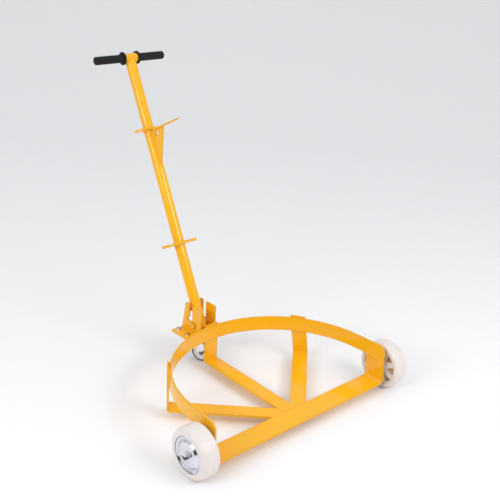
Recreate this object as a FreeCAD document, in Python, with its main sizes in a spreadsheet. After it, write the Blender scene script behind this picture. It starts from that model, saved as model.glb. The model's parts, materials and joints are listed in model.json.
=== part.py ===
import FreeCAD, Part
import os
import re
import Sketcher

# Drum trolley: a low ring frame on two plain wheels and one swivel caster, pulled by a hinged T-handle.
# Lengths are millimetres, +Z is up and +Y points from the open front to the handle.
# The origin lies on the floor under the middle of the whole trolley.
# The ring's own centre is at Y = ring_y.

SIZES = {
    # ring and place of the ring's centre
    "ring_y": -311.84,
    "ring_inner_radius": 305.0,
    "band_thick": 6.0,
    "band_height": 43.5,
    "band_low": 101.5,
    "ring_splay": 3.5,
    "edge_ease": 0.8,
    # flat bars under the drum
    "strap_low": 25.5,
    "strap_thick": 6.0,
    "strap_wide": 45.0,
    "strap_over": 3.0,
    "strap_angle": 54.2,
    "strap_root_in": 2.5,
    "bend_radius": 11.0,
    "strap_bend_radius": 2.5,
    "bend_leg": 15.0,
    "bar_wide": 63.0,
    "bar_y": -58.5,
    "upright_lean": 4.0,
    "band_end_round": 21.0,
    # clearances
    "weld_gap": 0.1,
    "press_gap": 0.03,
    "run_gap": 0.05,
    "end_play": 0.3,
    "cut_over": 5.0,
    # rear plate
    "plate_wide": 128.0,
    "plate_long": 104.5,
    "plate_thick": 6.0,
    "plate_rise": 2.5,
    "plate_round": 2.0,
    # bracket ears and the bar across them
    "ear_gap": 46.0,
    "ear_thick": 5.0,
    "ear_setback": 11.4,
    "ear_high": 88.5,
    "ear_foot": 88.6,
    "ear_head": 73.6,
    "ear_round": 4.0,
    "slot_behind": 49.25,
    "slot_wide": 16.5,
    "slot_rise": 34.0,
    "notch_high": 11.0,
    "notch_reach": 10.25,
    "rest_bar_rise": 66.0,
    "rest_bar_high": 13.0,
    "rest_bar_thick": 4.0,
    "rest_bar_gap": 0.3,
    # handle pivot
    "pivot_behind": 46.9,
    "pivot_rise": 26.5,
    "pivot_bolt_radius": 6.0,
    "pivot_flats": 19.0,
    "pivot_head": 5.0,
    "pivot_nut": 10.0,
    "pivot_washer_radius": 11.0,
    "pivot_washer": 1.5,
    "pivot_tail": 2.0,
    "sleeve_radius": 9.0,
    # handle
    "handle_lean": 27.0,
    "tube_radius": 16.0,
    "tube_wall": 2.5,
    "tube_below": 13.5,
    "grip_bar_reach": 811.0,
    "grip_bar_radius": 9.0,
    "grip_bar_wall": 2.0,
    "grip_bar_half": 115.5,
    "grip_hub_radius": 13.4,
    "grip_radius": 11.9,
    "grip_start": 22.0,
    "grip_cap": 3.5,
    "grip_flange": 5.0,
    "grip_flange_radius": 19.0,
    "grip_round": 3.0,
    # plates welded on the handle
    "hook_reach": 593.5,
    "hook_half": 47.0,
    "hook_deep": 42.0,
    "hook_thick": 6.0,
    "rest_reach": 245.5,
    "rest_half": 59.0,
    "rest_deep": 45.0,
    "rest_thick": 8.0,
    "collar_round": 20.0,
    "gusset_high": 104.0,
    "gusset_reach": 73.0,
    "gusset_thick": 6.0,
    "gusset_nose": 4.0,
    "gusset_hole_radius": 8.0,
    "gusset_hole_out": 38.5,
    "gusset_hole_drop": 11.0,
    "horn_radius": 3.0,
    "horn_reach": 160.0,
    "horn_taper": 22.0,
    "horn_tip_radius": 1.0,
    # front wheels
    "wheel_radius": 69.0,
    "wheel_wide": 50.0,
    "wheel_shoulder": 13.0,
    "wheel_gap": 11.0,
    "axle_radius": 7.5,
    "stud_skin": 1.5,
    "thread_radius": 6.0,
    "bush_radius": 12.0,
    "spacer_radius": 13.0,
    "dish_radius": 49.0,
    "dish_deep": 6.0,
    "cover_thick": 1.2,
    "cover_top_radius": 32.5,
    "cover_groove_radius": 38.0,
    "cover_floor_radius": 44.5,
    "cover_rise": 4.8,
    "cover_sunk": 1.0,
    "axle_washer_radius": 10.5,
    "axle_washer": 1.2,
    "axle_flats": 17.0,
    "axle_nut": 8.0,
    "axle_tail": 1.5,
    "pocket_count": 8,
    "pocket_low": 31.0,
    "pocket_high": 52.0,
    "pocket_rib": 17.0,
    "pocket_deep": 30.0,
    "hub_boss_radius": 19.0,
    "inner_dish": 3.0,
    "dish_start_radius": 25.0,
    "dish_end_radius": 54.0,
    "inner_rim_radius": 57.0,
    "inner_shoulder": 8.0,
    # swivel caster
    "kingpin_behind": 71.9,
    "caster_turn": 145.0,
    "caster_trail": 27.0,
    "caster_plate_wide": 112.0,
    "caster_plate_long": 64.0,
    "caster_plate_thick": 4.0,
    "caster_plate_round": 6.0,
    "caster_hole_x": 46.0,
    "caster_hole_y": 21.75,
    "caster_hole_radius": 4.5,
    "caster_bolt_radius": 4.0,
    "caster_bolt_flats": 13.0,
    "caster_bolt_head": 4.0,
    "caster_bolt_nut": 6.5,
    "caster_bolt_tail": 2.0,
    "kingpin_radius": 5.0,
    "kingpin_head_radius": 9.0,
    "kingpin_flats": 17.0,
    "kingpin_nut": 8.0,
    "kingpin_tail": 1.5,
    "ball_radius": 2.5,
    "ball_ring_radius": 19.5,
    "ball_count": 16,
    "race_radius": 26.0,
    "race_wall": 2.5,
    "fork_top_radius": 28.0,
    "fork_thick": 3.0,
    "fork_gap": 27.0,
    "fork_front": 18.0,
    "fork_back": 24.0,
    "fork_end_radius": 13.0,
    "caster_wheel_radius": 31.5,
    "caster_wheel_wide": 24.0,
    "caster_tyre_thick": 5.0,
    "caster_face_deep": 3.0,
    "caster_hub_radius": 12.0,
    "caster_bush_radius": 8.0,
    "caster_sleeve_radius": 6.0,
    "caster_axle_radius": 4.0,
    "caster_axle_flats": 13.0,
    "caster_axle_head": 5.3,
    "caster_axle_nut": 8.0,
    "caster_axle_tail": 1.5,
}

# places and sizes that follow from the ones above
RING_OUT = "(ring_inner_radius + band_thick)"
BAND_TOP = "(band_low + band_height)"
STRAP_TOP = "(strap_low + strap_thick)"
BAR_FRONT = "(bar_y - bar_wide / 2)"
BAR_REAR = "(bar_y + bar_wide / 2)"
UPRIGHT_OUT = f"({RING_OUT} + strap_thick)"
UPRIGHT_TOP = "(band_low - weld_gap)"
LEAN_START = f"({STRAP_TOP} + bend_radius)"
UPRIGHT_SHIFT = f"(({UPRIGHT_TOP} - {LEAN_START}) * tan(upright_lean))"
BAND_END = f"({BAR_FRONT} + {UPRIGHT_SHIFT})"
MAST_IN = f"({RING_OUT} + weld_gap)"
MAST_OUT = f"({MAST_IN} + strap_thick)"
MAST_TOP = f"({BAND_TOP} + strap_over)"
BEND_START = f"({MAST_IN} - bend_leg)"
BEND_X = f"({BEND_START} * sin(strap_angle))"
BEND_Y = f"({BEND_START} * cos(strap_angle))"
SLOPE = f"({BEND_X} / ({BEND_Y} - bar_y - strap_root_in))"
DRIFT = f"((tan(strap_angle) - {SLOPE}) / (1 + tan(strap_angle) * {SLOPE}))"
TRIM_Z = f"({STRAP_TOP} + strap_bend_radius / 4)"
PLATE_REAR = f"({MAST_OUT} + plate_long)"
PLATE_TOP = "(band_low + plate_rise)"
PLATE_LOW = f"({PLATE_TOP} - plate_thick)"
EAR_FRONT = f"({MAST_OUT} + ear_setback)"
EAR_TOP = f"({PLATE_TOP} + ear_high)"
EAR_OUT = "(ear_gap / 2 + ear_thick)"
PIVOT_Y = f"({MAST_OUT} + pivot_behind)"
PIVOT_Z = f"({PLATE_TOP} + pivot_rise)"
SLOT_Y = f"({EAR_FRONT} + slot_behind)"
NOTCH_Y = f"({SLOT_Y} + notch_reach)"
NOTCH_Z = f"({PLATE_TOP} + slot_rise + notch_high / 2)"
REST_BAR_TOP = f"({PLATE_TOP} + rest_bar_rise)"
REST_BAR_OFF = "((tube_radius + rest_bar_gap) / cos(handle_lean))"
REST_BAR_Y = f"({PIVOT_Y} + ({REST_BAR_TOP} - {PIVOT_Z}) * tan(handle_lean) + {REST_BAR_OFF})"
BAR_AXIS_Y = f"{PIVOT_Y} + grip_bar_reach * sin(handle_lean)"
BAR_AXIS_Z = f"{PIVOT_Z} + grip_bar_reach * cos(handle_lean)"
GRIP_END = "(grip_bar_half + grip_cap)"
GUSSET_TOP = "(hook_reach - hook_thick / 2 - weld_gap - 2 * horn_radius)"
HUB_LONG = "(wheel_wide - dish_deep)"
WHEEL_IN = f"({UPRIGHT_OUT} + wheel_gap)"
COVER_BACK = f"({HUB_LONG} + cover_rise)"
COVER_OUT = f"({COVER_BACK} + cover_thick)"
STUD_IN = f"({RING_OUT} + stud_skin)"
WASHER_IN = f"({WHEEL_IN} + {COVER_OUT} + end_play)"
NUT_IN = f"({WASHER_IN} + axle_washer)"
AXLE_END = f"({NUT_IN} + axle_nut + axle_tail)"
KINGPIN_Y = f"({MAST_OUT} + kingpin_behind)"
CASTER_LOW = f"({PLATE_LOW} - caster_plate_thick)"
FORK_TOP = f"({CASTER_LOW} - 2 * ball_radius - 2 * run_gap)"
FORK_LOW = f"({FORK_TOP} - fork_thick)"
FORK_HALF = "(fork_gap / 2)"
FORK_OUT = "(fork_gap / 2 + fork_thick)"

SIDES = (("left", "-1"), ("right", "1"))
UP = FreeCAD.Vector(0, 0, 1)
LEAN_AXIS = FreeCAD.Vector(-1, 0, 0)
TURN_AXIS = FreeCAD.Vector(0, 0, -1)
SAME = 1e-4

doc = FreeCAD.newDocument("drum_trolley")
sheet = doc.addObject("Spreadsheet::Sheet", "dims")
for row, (alias, size) in enumerate(SIZES.items(), start=1):
    sheet.set(f"A{row}", alias)
    sheet.set(f"B{row}", str(size))
    sheet.setAlias(f"B{row}", alias)
doc.recompute()

pieces = []


# Sums of named sizes


def cells(text):
    """Turn each size name in a sum into a reference to its cell."""
    def reference(found):
        return f"dims.{found.group()}" if found.group() in SIZES else found.group()
    return re.sub(r"[a-z][a-z_]*", reference, text)


def worth(text):
    """Give the value of a sum of named sizes."""
    return float(sheet.evalExpression(cells(text)))


def bind(item, name, text):
    """Tie a property to a sum of named sizes."""
    item.setExpression(name, cells(text))


# Bodies, sketches and features


def new_body(label, kept=True):
    """Start a body; a kept one becomes a node of its own."""
    body = doc.addObject("PartDesign::Body", label)
    body.Label = label
    if kept:
        pieces.append(body)
    return body


def new_sketch(body, plane, lift="0"):
    """Start a sketch on one of the body's own planes, lifted along its normal."""
    sketch = body.newObject("Sketcher::SketchObject", f"{body.Name}_sketch")
    support = [item for item in body.Origin.OriginFeatures if item.Role == plane][0]
    sketch.AttachmentSupport = (support, "")
    sketch.MapMode = "FlatFace"
    bind(sketch, "AttachmentOffset.Base.z", lift)
    return sketch


def fix_point(sketch, line, spot, x, y):
    """Hold one point of a sketch at two bound distances."""
    for kind, text in (("DistanceX", x), ("DistanceY", y)):
        rule = sketch.addConstraint(Sketcher.Constraint(kind, -1, 1, line, spot, worth(text)))
        bind(sketch, f"Constraints[{rule}]", text)


def draw_polygon(sketch, corners):
    """Draw a closed outline through the given corners."""
    first = sketch.GeometryCount
    count = len(corners)
    spots = [FreeCAD.Vector(worth(x), worth(y), 0) for x, y in corners]
    for index in range(count):
        sketch.addGeometry(Part.LineSegment(spots[index], spots[(index + 1) % count]), False)
    for index, (x, y) in enumerate(corners):
        after = first + (index + 1) % count
        sketch.addConstraint(Sketcher.Constraint("Coincident", first + index, 2, after, 1))
        fix_point(sketch, first + index, 1, x, y)
    return sketch


def draw_circle(sketch, x, y, radius):
    """Draw a circle with a bound centre and radius."""
    centre = FreeCAD.Vector(worth(x), worth(y), 0)
    line = sketch.addGeometry(Part.Circle(centre, UP, worth(radius)), False)
    rule = sketch.addConstraint(Sketcher.Constraint("Radius", line, worth(radius)))
    bind(sketch, f"Constraints[{rule}]", radius)
    fix_point(sketch, line, 3, x, y)
    return sketch


def finish_feature(body, feature):
    """Make a feature the body's latest and work it out."""
    body.Tip = feature
    doc.recompute()
    return feature


def pad(body, sketch, length, symmetric=False, back=False):
    """Raise a sketch into a solid."""
    feature = body.newObject("PartDesign::Pad", f"{body.Name}_pad")
    feature.Profile = sketch
    feature.SideType = "Symmetric" if symmetric else "One side"
    feature.Reversed = back
    bind(feature, "Length", length)
    return finish_feature(body, feature)


def check_cut(body, before):
    """Stop if a cut took nothing away."""
    if body.Shape.Volume > before - SAME:
        raise ValueError(f"a cut in {body.Label} removes nothing")


def pocket(body, sketch, depth, symmetric=False, back=False):
    """Cut a sketch out of a body."""
    before = body.Shape.Volume
    feature = body.newObject("PartDesign::Pocket", f"{body.Name}_pocket")
    feature.Profile = sketch
    feature.SideType = "Symmetric" if symmetric else "One side"
    feature.Reversed = back
    bind(feature, "Length", depth)
    finish_feature(body, feature)
    check_cut(body, before)
    return feature


def revolve(body, sketch, axis, angle="360"):
    """Turn a sketch about its own horizontal or vertical axis."""
    feature = body.newObject("PartDesign::Revolution", f"{body.Name}_turn")
    feature.Profile = sketch
    feature.ReferenceAxis = (sketch, [axis])
    bind(feature, "Angle", angle)
    return finish_feature(body, feature)


def groove(body, sketch, axis):
    """Cut a sketch out of a body all round one axis."""
    before = body.Shape.Volume
    feature = body.newObject("PartDesign::Groove", f"{body.Name}_groove")
    feature.Profile = sketch
    feature.ReferenceAxis = (sketch, [axis])
    finish_feature(body, feature)
    check_cut(body, before)
    return feature


def spread(body, feature, sketch, count):
    """Repeat a feature evenly round its sketch's normal."""
    pattern = body.newObject("PartDesign::PolarPattern", f"{body.Name}_pattern")
    pattern.Originals = [feature]
    pattern.Axis = (sketch, ["N_Axis"])
    pattern.Angle = 360
    bind(pattern, "Occurrences", count)
    return finish_feature(body, pattern)


def round_edges(body, radius, chosen):
    """Round the edges that a test picks from the body's latest feature."""
    base = body.Tip
    names = [f"Edge{index}" for index, edge in enumerate(base.Shape.Edges, start=1) if chosen(edge)]
    if not names:
        raise ValueError(f"no edge of {body.Label} to round")
    feature = body.newObject("PartDesign::Fillet", f"{body.Name}_round")
    feature.Base = (base, names)
    bind(feature, "Radius", radius)
    return finish_feature(body, feature)


def close(value, text):
    """Tell whether a length equals a sum of named sizes."""
    return abs(value - worth(text)) < SAME


def straight(edge, direction):
    """Tell whether an edge runs straight along a direction."""
    if edge.Curve.TypeId != "Part::GeomLine":
        return False
    return abs(abs(edge.Curve.Direction.dot(direction)) - 1) < SAME


def circular(edge, radius):
    """Tell whether an edge is a circle of a given radius."""
    return edge.Curve.TypeId == "Part::GeomCircle" and close(edge.Curve.Radius, radius)


def in_plane(edge, axis, text):
    """Tell whether a whole edge lies at one place along an axis."""
    box = edge.BoundBox
    low, high = {"x": (box.XMin, box.XMax), "y": (box.YMin, box.YMax), "z": (box.ZMin, box.ZMax)}[axis]
    return abs(low - worth(text)) < SAME and abs(high - worth(text)) < SAME


def place(item, x="0", y="0", z="0", turn=None):
    """Set a piece down in the trolley, with y counted from the ring's centre."""
    if turn:
        item.Placement = FreeCAD.Placement(FreeCAD.Vector(), turn)
    bind(item, "Placement.Base.x", x)
    bind(item, "Placement.Base.y", f"ring_y + {y}")
    bind(item, "Placement.Base.z", z)
    return item


def place_side(item, side, x, y, z):
    """Set down a piece whose own +X points out of one side."""
    half_turn = FreeCAD.Rotation(UP, 180 if side == "-1" else 0)
    return place(item, f"{side} * {x}", y, z, half_turn)


def place_on_handle(item):
    """Set down a piece drawn with +Z up the handle and its origin at the pivot."""
    place(item, "0", PIVOT_Y, PIVOT_Z, FreeCAD.Rotation(LEAN_AXIS, 1))
    bind(item, "Placement.Rotation.Angle", "handle_lean")
    return item


def place_on_caster(item, along="0", z="0"):
    """Set down a piece drawn with +Y along the caster's trail, counted from the swivel axis."""
    across = f"{along} * sin(caster_turn)"
    place(item, across, f"{KINGPIN_Y} + {along} * cos(caster_turn)", z, FreeCAD.Rotation(TURN_AXIS, 1))
    bind(item, "Placement.Rotation.Angle", "caster_turn")
    return item


# Shapes that several pieces share


def turned(label, axis, corners, kept=True):
    """Make a piece turned about its own X (H_Axis) or Z (V_Axis)."""
    body = new_body(label, kept)
    revolve(body, draw_polygon(new_sketch(body, "XZ_Plane"), corners), axis)
    return body


def ring_corners(inner, outer, start, end):
    """Give the section of a plain ring about X, as places along the axis and radii."""
    return [(start, inner), (end, inner), (end, outer), (start, outer)]


def upright_ring(inner, outer, start, end):
    """Give the section of a plain ring about Z."""
    return [(radius, height) for height, radius in ring_corners(inner, outer, start, end)]


def hexagon(flats):
    """Give the six corners of a hexagon of a given size across flats."""
    return [(f"{flats} / sqrt(3) * cos(60 * {turn})", f"{flats} / sqrt(3) * sin(60 * {turn})")
            for turn in range(6)]


def hex_block(body, axis, flats, height):
    """Raise a hexagon along X or Z and take its outer corners down all round."""
    corner = f"({flats} / sqrt(3))"
    drop = f"({corner} - {flats} / 2)"
    profile = [(f"{flats} / 2", height), (f"{corner} + {drop}", height),
               (f"{corner} + {drop}", f"{height} - {drop}")]
    if axis == "H_Axis":
        profile = [(along, radius) for radius, along in profile]
    plane = "YZ_Plane" if axis == "H_Axis" else "XY_Plane"
    pad(body, draw_polygon(new_sketch(body, plane), hexagon(flats)), height)
    groove(body, draw_polygon(new_sketch(body, "XZ_Plane"), profile), axis)
    return plane


def nut(label, axis, flats, height, bore, kept=True):
    """Make a hexagon nut that sits on its own origin and rises along X or Z."""
    body = new_body(label, kept)
    plane = hex_block(body, axis, flats, height)
    pocket(body, draw_circle(new_sketch(body, plane), "0", "0", bore), f"2 * {height}", symmetric=True)
    return body


def bolt(label, axis, flats, head, shank_radius, shank_long, kept=True):
    """Make a hexagon bolt whose head rises from its own origin and whose shank goes the other way."""
    body = new_body(label, kept)
    plane = hex_block(body, axis, flats, head)
    pad(body, draw_circle(new_sketch(body, plane), "0", "0", shank_radius), shank_long, back=True)
    return body


def group(label, members):
    """Join like pieces into one node of separate solids."""
    node = doc.addObject("Part::Compound", label)
    node.Label = label
    node.Links = members
    pieces.append(node)
    return node


# Frame


def swing(sketch, axis, side, angle):
    """Turn a sketch about one of its own axes, the same way out on either side."""
    sketch.AttachmentOffset = FreeCAD.Placement(FreeCAD.Vector(), FreeCAD.Rotation(axis * -int(side), 1))
    bind(sketch, "AttachmentOffset.Rotation.Angle", angle)
    return sketch


def make_ring_band():
    """Ring behind the drum, a little under half of it, with straight ends over the front bar's uprights."""
    body = new_body("ring_band")
    section = [("ring_inner_radius", "band_low"), (RING_OUT, "band_low"),
               (RING_OUT, BAND_TOP), ("ring_inner_radius", BAND_TOP)]
    upright = FreeCAD.Vector(0, 1, 0)
    arc = swing(new_sketch(body, "XZ_Plane"), upright, "-1", "ring_splay")
    revolve(body, draw_polygon(arc, section), "V_Axis", "180 - 2 * ring_splay")
    if body.Shape.BoundBox.YMax < worth("band_thick"):
        body.Tip.Reversed = True
        doc.recompute()
    end_long = f"(({RING_OUT} * sin(ring_splay) - {BAND_END}) / cos(ring_splay))"
    for _, side in SIDES:
        end = [(f"{side} * {x}", z) for x, z in section]
        outline = swing(new_sketch(body, "XZ_Plane"), upright, str(-int(side)), "ring_splay")
        pad(body, draw_polygon(outline, end), end_long)
    round_edges(body, "band_end_round", lambda edge: in_plane(edge, "z", BAND_TOP)
                and close(edge.Length, "band_thick"))
    round_edges(body, "edge_ease", lambda edge: in_plane(edge, "z", BAND_TOP)
                or in_plane(edge, "z", "band_low"))
    return place(body)


def round_bend(body, radius, direction, low_out, high_in):
    """Round both sides of a right-angled bend in a flat bar."""
    round_edges(body, f"{radius} + strap_thick", lambda edge: straight(edge, direction)
                and in_plane(edge, "z", "strap_low") and low_out(edge))
    round_edges(body, radius, lambda edge: straight(edge, direction)
                and in_plane(edge, "z", STRAP_TOP) and high_in(edge))


def lean_line(start):
    """Give two points of an upright's edge, which leans back from the top of the bend."""
    over = f"({UPRIGHT_TOP} + cut_over)"
    return [(start, LEAN_START), (f"{start} + ({over} - {LEAN_START}) * tan(upright_lean)", over)]


def make_front_bar():
    """Wide flat bar across the front, bent up at both ends to carry the wheel axles and the ring's ends."""
    body = new_body("front_bar")
    half = [(UPRIGHT_OUT, "strap_low"), (UPRIGHT_OUT, UPRIGHT_TOP), (RING_OUT, UPRIGHT_TOP),
            (RING_OUT, STRAP_TOP)]
    profile = half + [(f"-{x}", z) for x, z in reversed(half)]
    pad(body, draw_polygon(new_sketch(body, "XZ_Plane", f"-{BAR_REAR}"), profile), "bar_wide")
    round_bend(body, "bend_radius", FreeCAD.Vector(0, 1, 0),
               lambda edge: close(abs(edge.CenterOfMass.x), UPRIGHT_OUT),
               lambda edge: close(abs(edge.CenterOfMass.x), RING_OUT))
    round_edges(body, "edge_ease", lambda edge: in_plane(edge, "y", BAR_FRONT)
                and not in_plane(edge, "z", UPRIGHT_TOP))
    rear = [(BAR_REAR, LEAN_START), (f"{BAR_REAR} + {UPRIGHT_SHIFT}", UPRIGHT_TOP),
            ("bar_y", UPRIGHT_TOP), ("bar_y", LEAN_START)]
    for _, side in SIDES:
        outline = draw_polygon(new_sketch(body, "YZ_Plane", f"{side} * {RING_OUT}"), rear)
        pad(body, outline, "strap_thick", back=side == "-1")
    ahead = f"{BAR_FRONT} - cut_over"
    front = lean_line(BAR_FRONT) + [(ahead, f"{UPRIGHT_TOP} + cut_over"), (ahead, LEAN_START)]
    pocket(body, draw_polygon(new_sketch(body, "YZ_Plane"), front), f"2 * {UPRIGHT_OUT} + cut_over",
           symmetric=True)
    for _, side in SIDES:
        axle = new_sketch(body, "YZ_Plane", f"{side} * {UPRIGHT_OUT}")
        draw_circle(axle, "bar_y", "wheel_radius", "axle_radius + press_gap")
        pocket(body, axle, "strap_thick - stud_skin", back=side == "-1")
    return place(body)


def mast_profile(start):
    """Give the side view of a strap that runs outwards and bends up outside the ring."""
    return [(start, "strap_low"), (MAST_OUT, "strap_low"), (MAST_OUT, MAST_TOP),
            (MAST_IN, MAST_TOP), (MAST_IN, STRAP_TOP), (start, STRAP_TOP)]


def reach_from_centre(edge):
    """Give how far an edge's middle lies from the ring's axis."""
    return FreeCAD.Vector(edge.CenterOfMass.x, edge.CenterOfMass.y, 0).Length


def make_middle_strap():
    """Flat bar from the front bar straight back under the drum and up outside the ring."""
    body = new_body("middle_strap")
    profile = draw_polygon(new_sketch(body, "YZ_Plane"), mast_profile(BAR_REAR))
    pad(body, profile, "strap_wide", symmetric=True)
    round_bend(body, "strap_bend_radius", FreeCAD.Vector(1, 0, 0),
               lambda edge: close(reach_from_centre(edge), MAST_OUT),
               lambda edge: close(reach_from_centre(edge), MAST_IN))
    round_edges(body, "edge_ease", lambda edge: in_plane(edge, "z", MAST_TOP))
    return place(body)


def trim_flanks(body, side, sketches, start, rise, shift, depth):
    """Cut a strap's two flanks along lines that drift sideways as the strap goes on."""
    for sketch, flank in zip(sketches, ("-1", "1")):
        near = f"{flank} * strap_wide / 2"
        far = f"{flank} * 2 * strap_wide"
        end = f"{start} + {rise}"
        corners = [(f"{near} - {shift}", start), (f"{near} - {shift} - {DRIFT} * {rise}", end),
                   (far, end), (far, start)]
        outline = [(f"{side} * ({x})", y) for x, y in corners]
        pocket(body, draw_polygon(sketch, outline), depth, symmetric=True)


def make_slanted_strap(name, side):
    """Flat bar from the front bar's middle out to one side, bent up askew against the ring."""
    body = new_body(f"{name}_strap")
    half_x = "(strap_wide / 2 * cos(strap_angle))"
    half_y = "(strap_wide / 2 * sin(strap_angle))"
    front_x = f"({BEND_X} + {half_x} - {SLOPE} * ({BEND_Y} - {half_y} - {BAR_REAR}))"
    inner_y = f"({BEND_Y} + {half_y} - ({BEND_X} - {half_x} - strap_wide / 2) / {SLOPE})"
    flat = [(front_x, BAR_REAR), (f"{BEND_X} + {half_x}", f"{BEND_Y} - {half_y}"),
            (f"{BEND_X} - {half_x}", f"{BEND_Y} + {half_y}"), ("strap_wide / 2", inner_y),
            ("strap_wide / 2", BAR_REAR)]
    outline = [(f"{side} * ({x})", y) for x, y in flat]
    pad(body, draw_polygon(new_sketch(body, "XY_Plane", "strap_low"), outline), "strap_thick")
    profile = swing(new_sketch(body, "YZ_Plane"), FreeCAD.Vector(0, 1, 0), side, "strap_angle")
    pad(body, draw_polygon(profile, mast_profile(BEND_START)), "2 * strap_wide", symmetric=True)
    angle = worth("strap_angle")
    tangent = FreeCAD.Rotation(UP, -angle if side == "1" else angle).multVec(FreeCAD.Vector(1, 0, 0))
    round_bend(body, "strap_bend_radius", tangent,
               lambda edge: close(reach_from_centre(edge), MAST_OUT),
               lambda edge: close(reach_from_centre(edge), MAST_IN))
    round_edges(body, "edge_ease", lambda edge: in_plane(edge, "z", MAST_TOP))
    seen_from_above = [swing(new_sketch(body, "XY_Plane"), UP, side, "strap_angle") for _ in SIDES]
    trim_flanks(body, side, seen_from_above, BEND_START, f"({MAST_OUT} + cut_over - {BEND_START})", "0",
                f"2 * {TRIM_Z}")
    seen_along = [swing(new_sketch(body, "XZ_Plane"), FreeCAD.Vector(0, 1, 0), side, "strap_angle")
                  for _ in SIDES]
    trim_flanks(body, side, seen_along, TRIM_Z, f"({MAST_TOP} + cut_over - {TRIM_Z})",
                f"{DRIFT} * ({MAST_IN} + strap_thick / 2 - {BEND_START})", f"2 * {MAST_OUT} + cut_over")
    return place(body)


def caster_spots():
    """Give the four places of the caster's fixing bolts, counted from the swivel axis."""
    ends = ("-1", "1")
    return [(f"{side} * caster_hole_x", f"{end} * caster_hole_y") for _, side in SIDES for end in ends]


def make_rear_plate():
    """Plate welded behind the middle strap, over the caster and under the handle's bracket."""
    body = new_body("rear_plate")
    half = "plate_wide / 2"
    corners = [(f"-{half}", MAST_OUT), (half, MAST_OUT), (half, PLATE_REAR), (f"-{half}", PLATE_REAR)]
    pad(body, draw_polygon(new_sketch(body, "XY_Plane", PLATE_LOW), corners), "plate_thick")
    round_edges(body, "plate_round", lambda edge: straight(edge, UP)
                and close(edge.CenterOfMass.y, PLATE_REAR))
    round_edges(body, "edge_ease", lambda edge: in_plane(edge, "z", PLATE_TOP))
    holes = new_sketch(body, "XY_Plane", PLATE_TOP)
    for x, y in caster_spots():
        draw_circle(holes, x, f"{KINGPIN_Y} + {y}", "caster_hole_radius")
    pocket(body, holes, "plate_thick + cut_over")
    return place(body)


def make_ear(name, side):
    """Bracket ear with an open-topped hooked slot and a hole for the pivot bolt."""
    body = new_body(f"{name}_ear")
    outline = [(EAR_FRONT, PLATE_TOP), (f"{EAR_FRONT} + ear_foot", PLATE_TOP),
               (f"{EAR_FRONT} + ear_head", EAR_TOP), (EAR_FRONT, EAR_TOP)]
    inner = f"{side} * ear_gap / 2"
    back = side == "-1"
    pad(body, draw_polygon(new_sketch(body, "YZ_Plane", inner), outline), "ear_thick", back=back)
    round_edges(body, "ear_round", lambda edge: straight(edge, FreeCAD.Vector(1, 0, 0))
                and in_plane(edge, "z", EAR_TOP))
    front = f"({SLOT_Y} - slot_wide / 2)"
    rear = f"({SLOT_Y} + slot_wide / 2)"
    floor = f"({NOTCH_Z} - notch_high / 2)"
    roof = f"({NOTCH_Z} + notch_high / 2)"
    mouth = f"({EAR_TOP} + cut_over)"
    slot = [(front, mouth), (front, floor), (NOTCH_Y, floor), (NOTCH_Y, roof), (rear, roof), (rear, mouth)]
    deep = f"2 * {EAR_OUT} + cut_over"
    pocket(body, draw_polygon(new_sketch(body, "YZ_Plane"), slot), deep, symmetric=True)
    notch_end = draw_circle(new_sketch(body, "YZ_Plane"), NOTCH_Y, NOTCH_Z, "notch_high / 2")
    pocket(body, notch_end, deep, symmetric=True)
    hole = draw_circle(new_sketch(body, "YZ_Plane"), PIVOT_Y, PIVOT_Z, "pivot_bolt_radius + run_gap")
    pocket(body, hole, deep, symmetric=True)
    return place(body)


def make_handle_rest():
    """Flat bar across the ears that the leaning handle rests on."""
    body = new_body("handle_rest")
    rear = f"{REST_BAR_Y} + rest_bar_thick"
    low = f"{REST_BAR_TOP} - rest_bar_high"
    corners = [(REST_BAR_Y, low), (rear, low), (rear, REST_BAR_TOP), (REST_BAR_Y, REST_BAR_TOP)]
    pad(body, draw_polygon(new_sketch(body, "YZ_Plane"), corners), "ear_gap - 2 * weld_gap", symmetric=True)
    return place(body)


def make_pivot():
    """Bolt, washers and nut that the handle swings on."""
    grip = f"({EAR_OUT} + pivot_washer)"
    shank = f"2 * {grip} + pivot_nut + pivot_tail"
    place_side(bolt("pivot_bolt", "H_Axis", "pivot_flats", "pivot_head", "pivot_bolt_radius", shank),
               "-1", grip, PIVOT_Y, PIVOT_Z)
    place_side(nut("pivot_nut", "H_Axis", "pivot_flats", "pivot_nut", "pivot_bolt_radius + press_gap"),
               "1", grip, PIVOT_Y, PIVOT_Z)
    washers = []
    for name, side in SIDES:
        section = ring_corners("pivot_bolt_radius + run_gap", "pivot_washer_radius", "0", "pivot_washer")
        washer = turned(f"{name}_pivot_washer", "H_Axis", section, kept=False)
        washers.append(place_side(washer, side, EAR_OUT, PIVOT_Y, PIVOT_Z))
    group("pivot_washers", washers)


# Front wheels


def make_axle(name, side):
    """Stud welded into an upright, with the spacer, washer and nut that hold the wheel on it."""
    shoulder = f"({WHEEL_IN} + {COVER_OUT})"
    stud = [(STUD_IN, "0"), (STUD_IN, "axle_radius"), (shoulder, "axle_radius"),
            (shoulder, "thread_radius"), (AXLE_END, "thread_radius"), (AXLE_END, "0")]
    spacer = ring_corners("axle_radius + press_gap", "spacer_radius", UPRIGHT_OUT, f"{WHEEL_IN} - end_play")
    washer = ring_corners("thread_radius + run_gap", "axle_washer_radius", WASHER_IN, NUT_IN)
    for label, corners in (("axle_stud", stud), ("axle_spacer", spacer), ("axle_washer", washer)):
        place_side(turned(f"{name}_{label}", "H_Axis", corners), side, "0", "bar_y", "wheel_radius")
    place_side(nut(f"{name}_axle_nut", "H_Axis", "axle_flats", "axle_nut", "thread_radius + press_gap"),
               side, NUT_IN, "bar_y", "wheel_radius")


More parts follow.
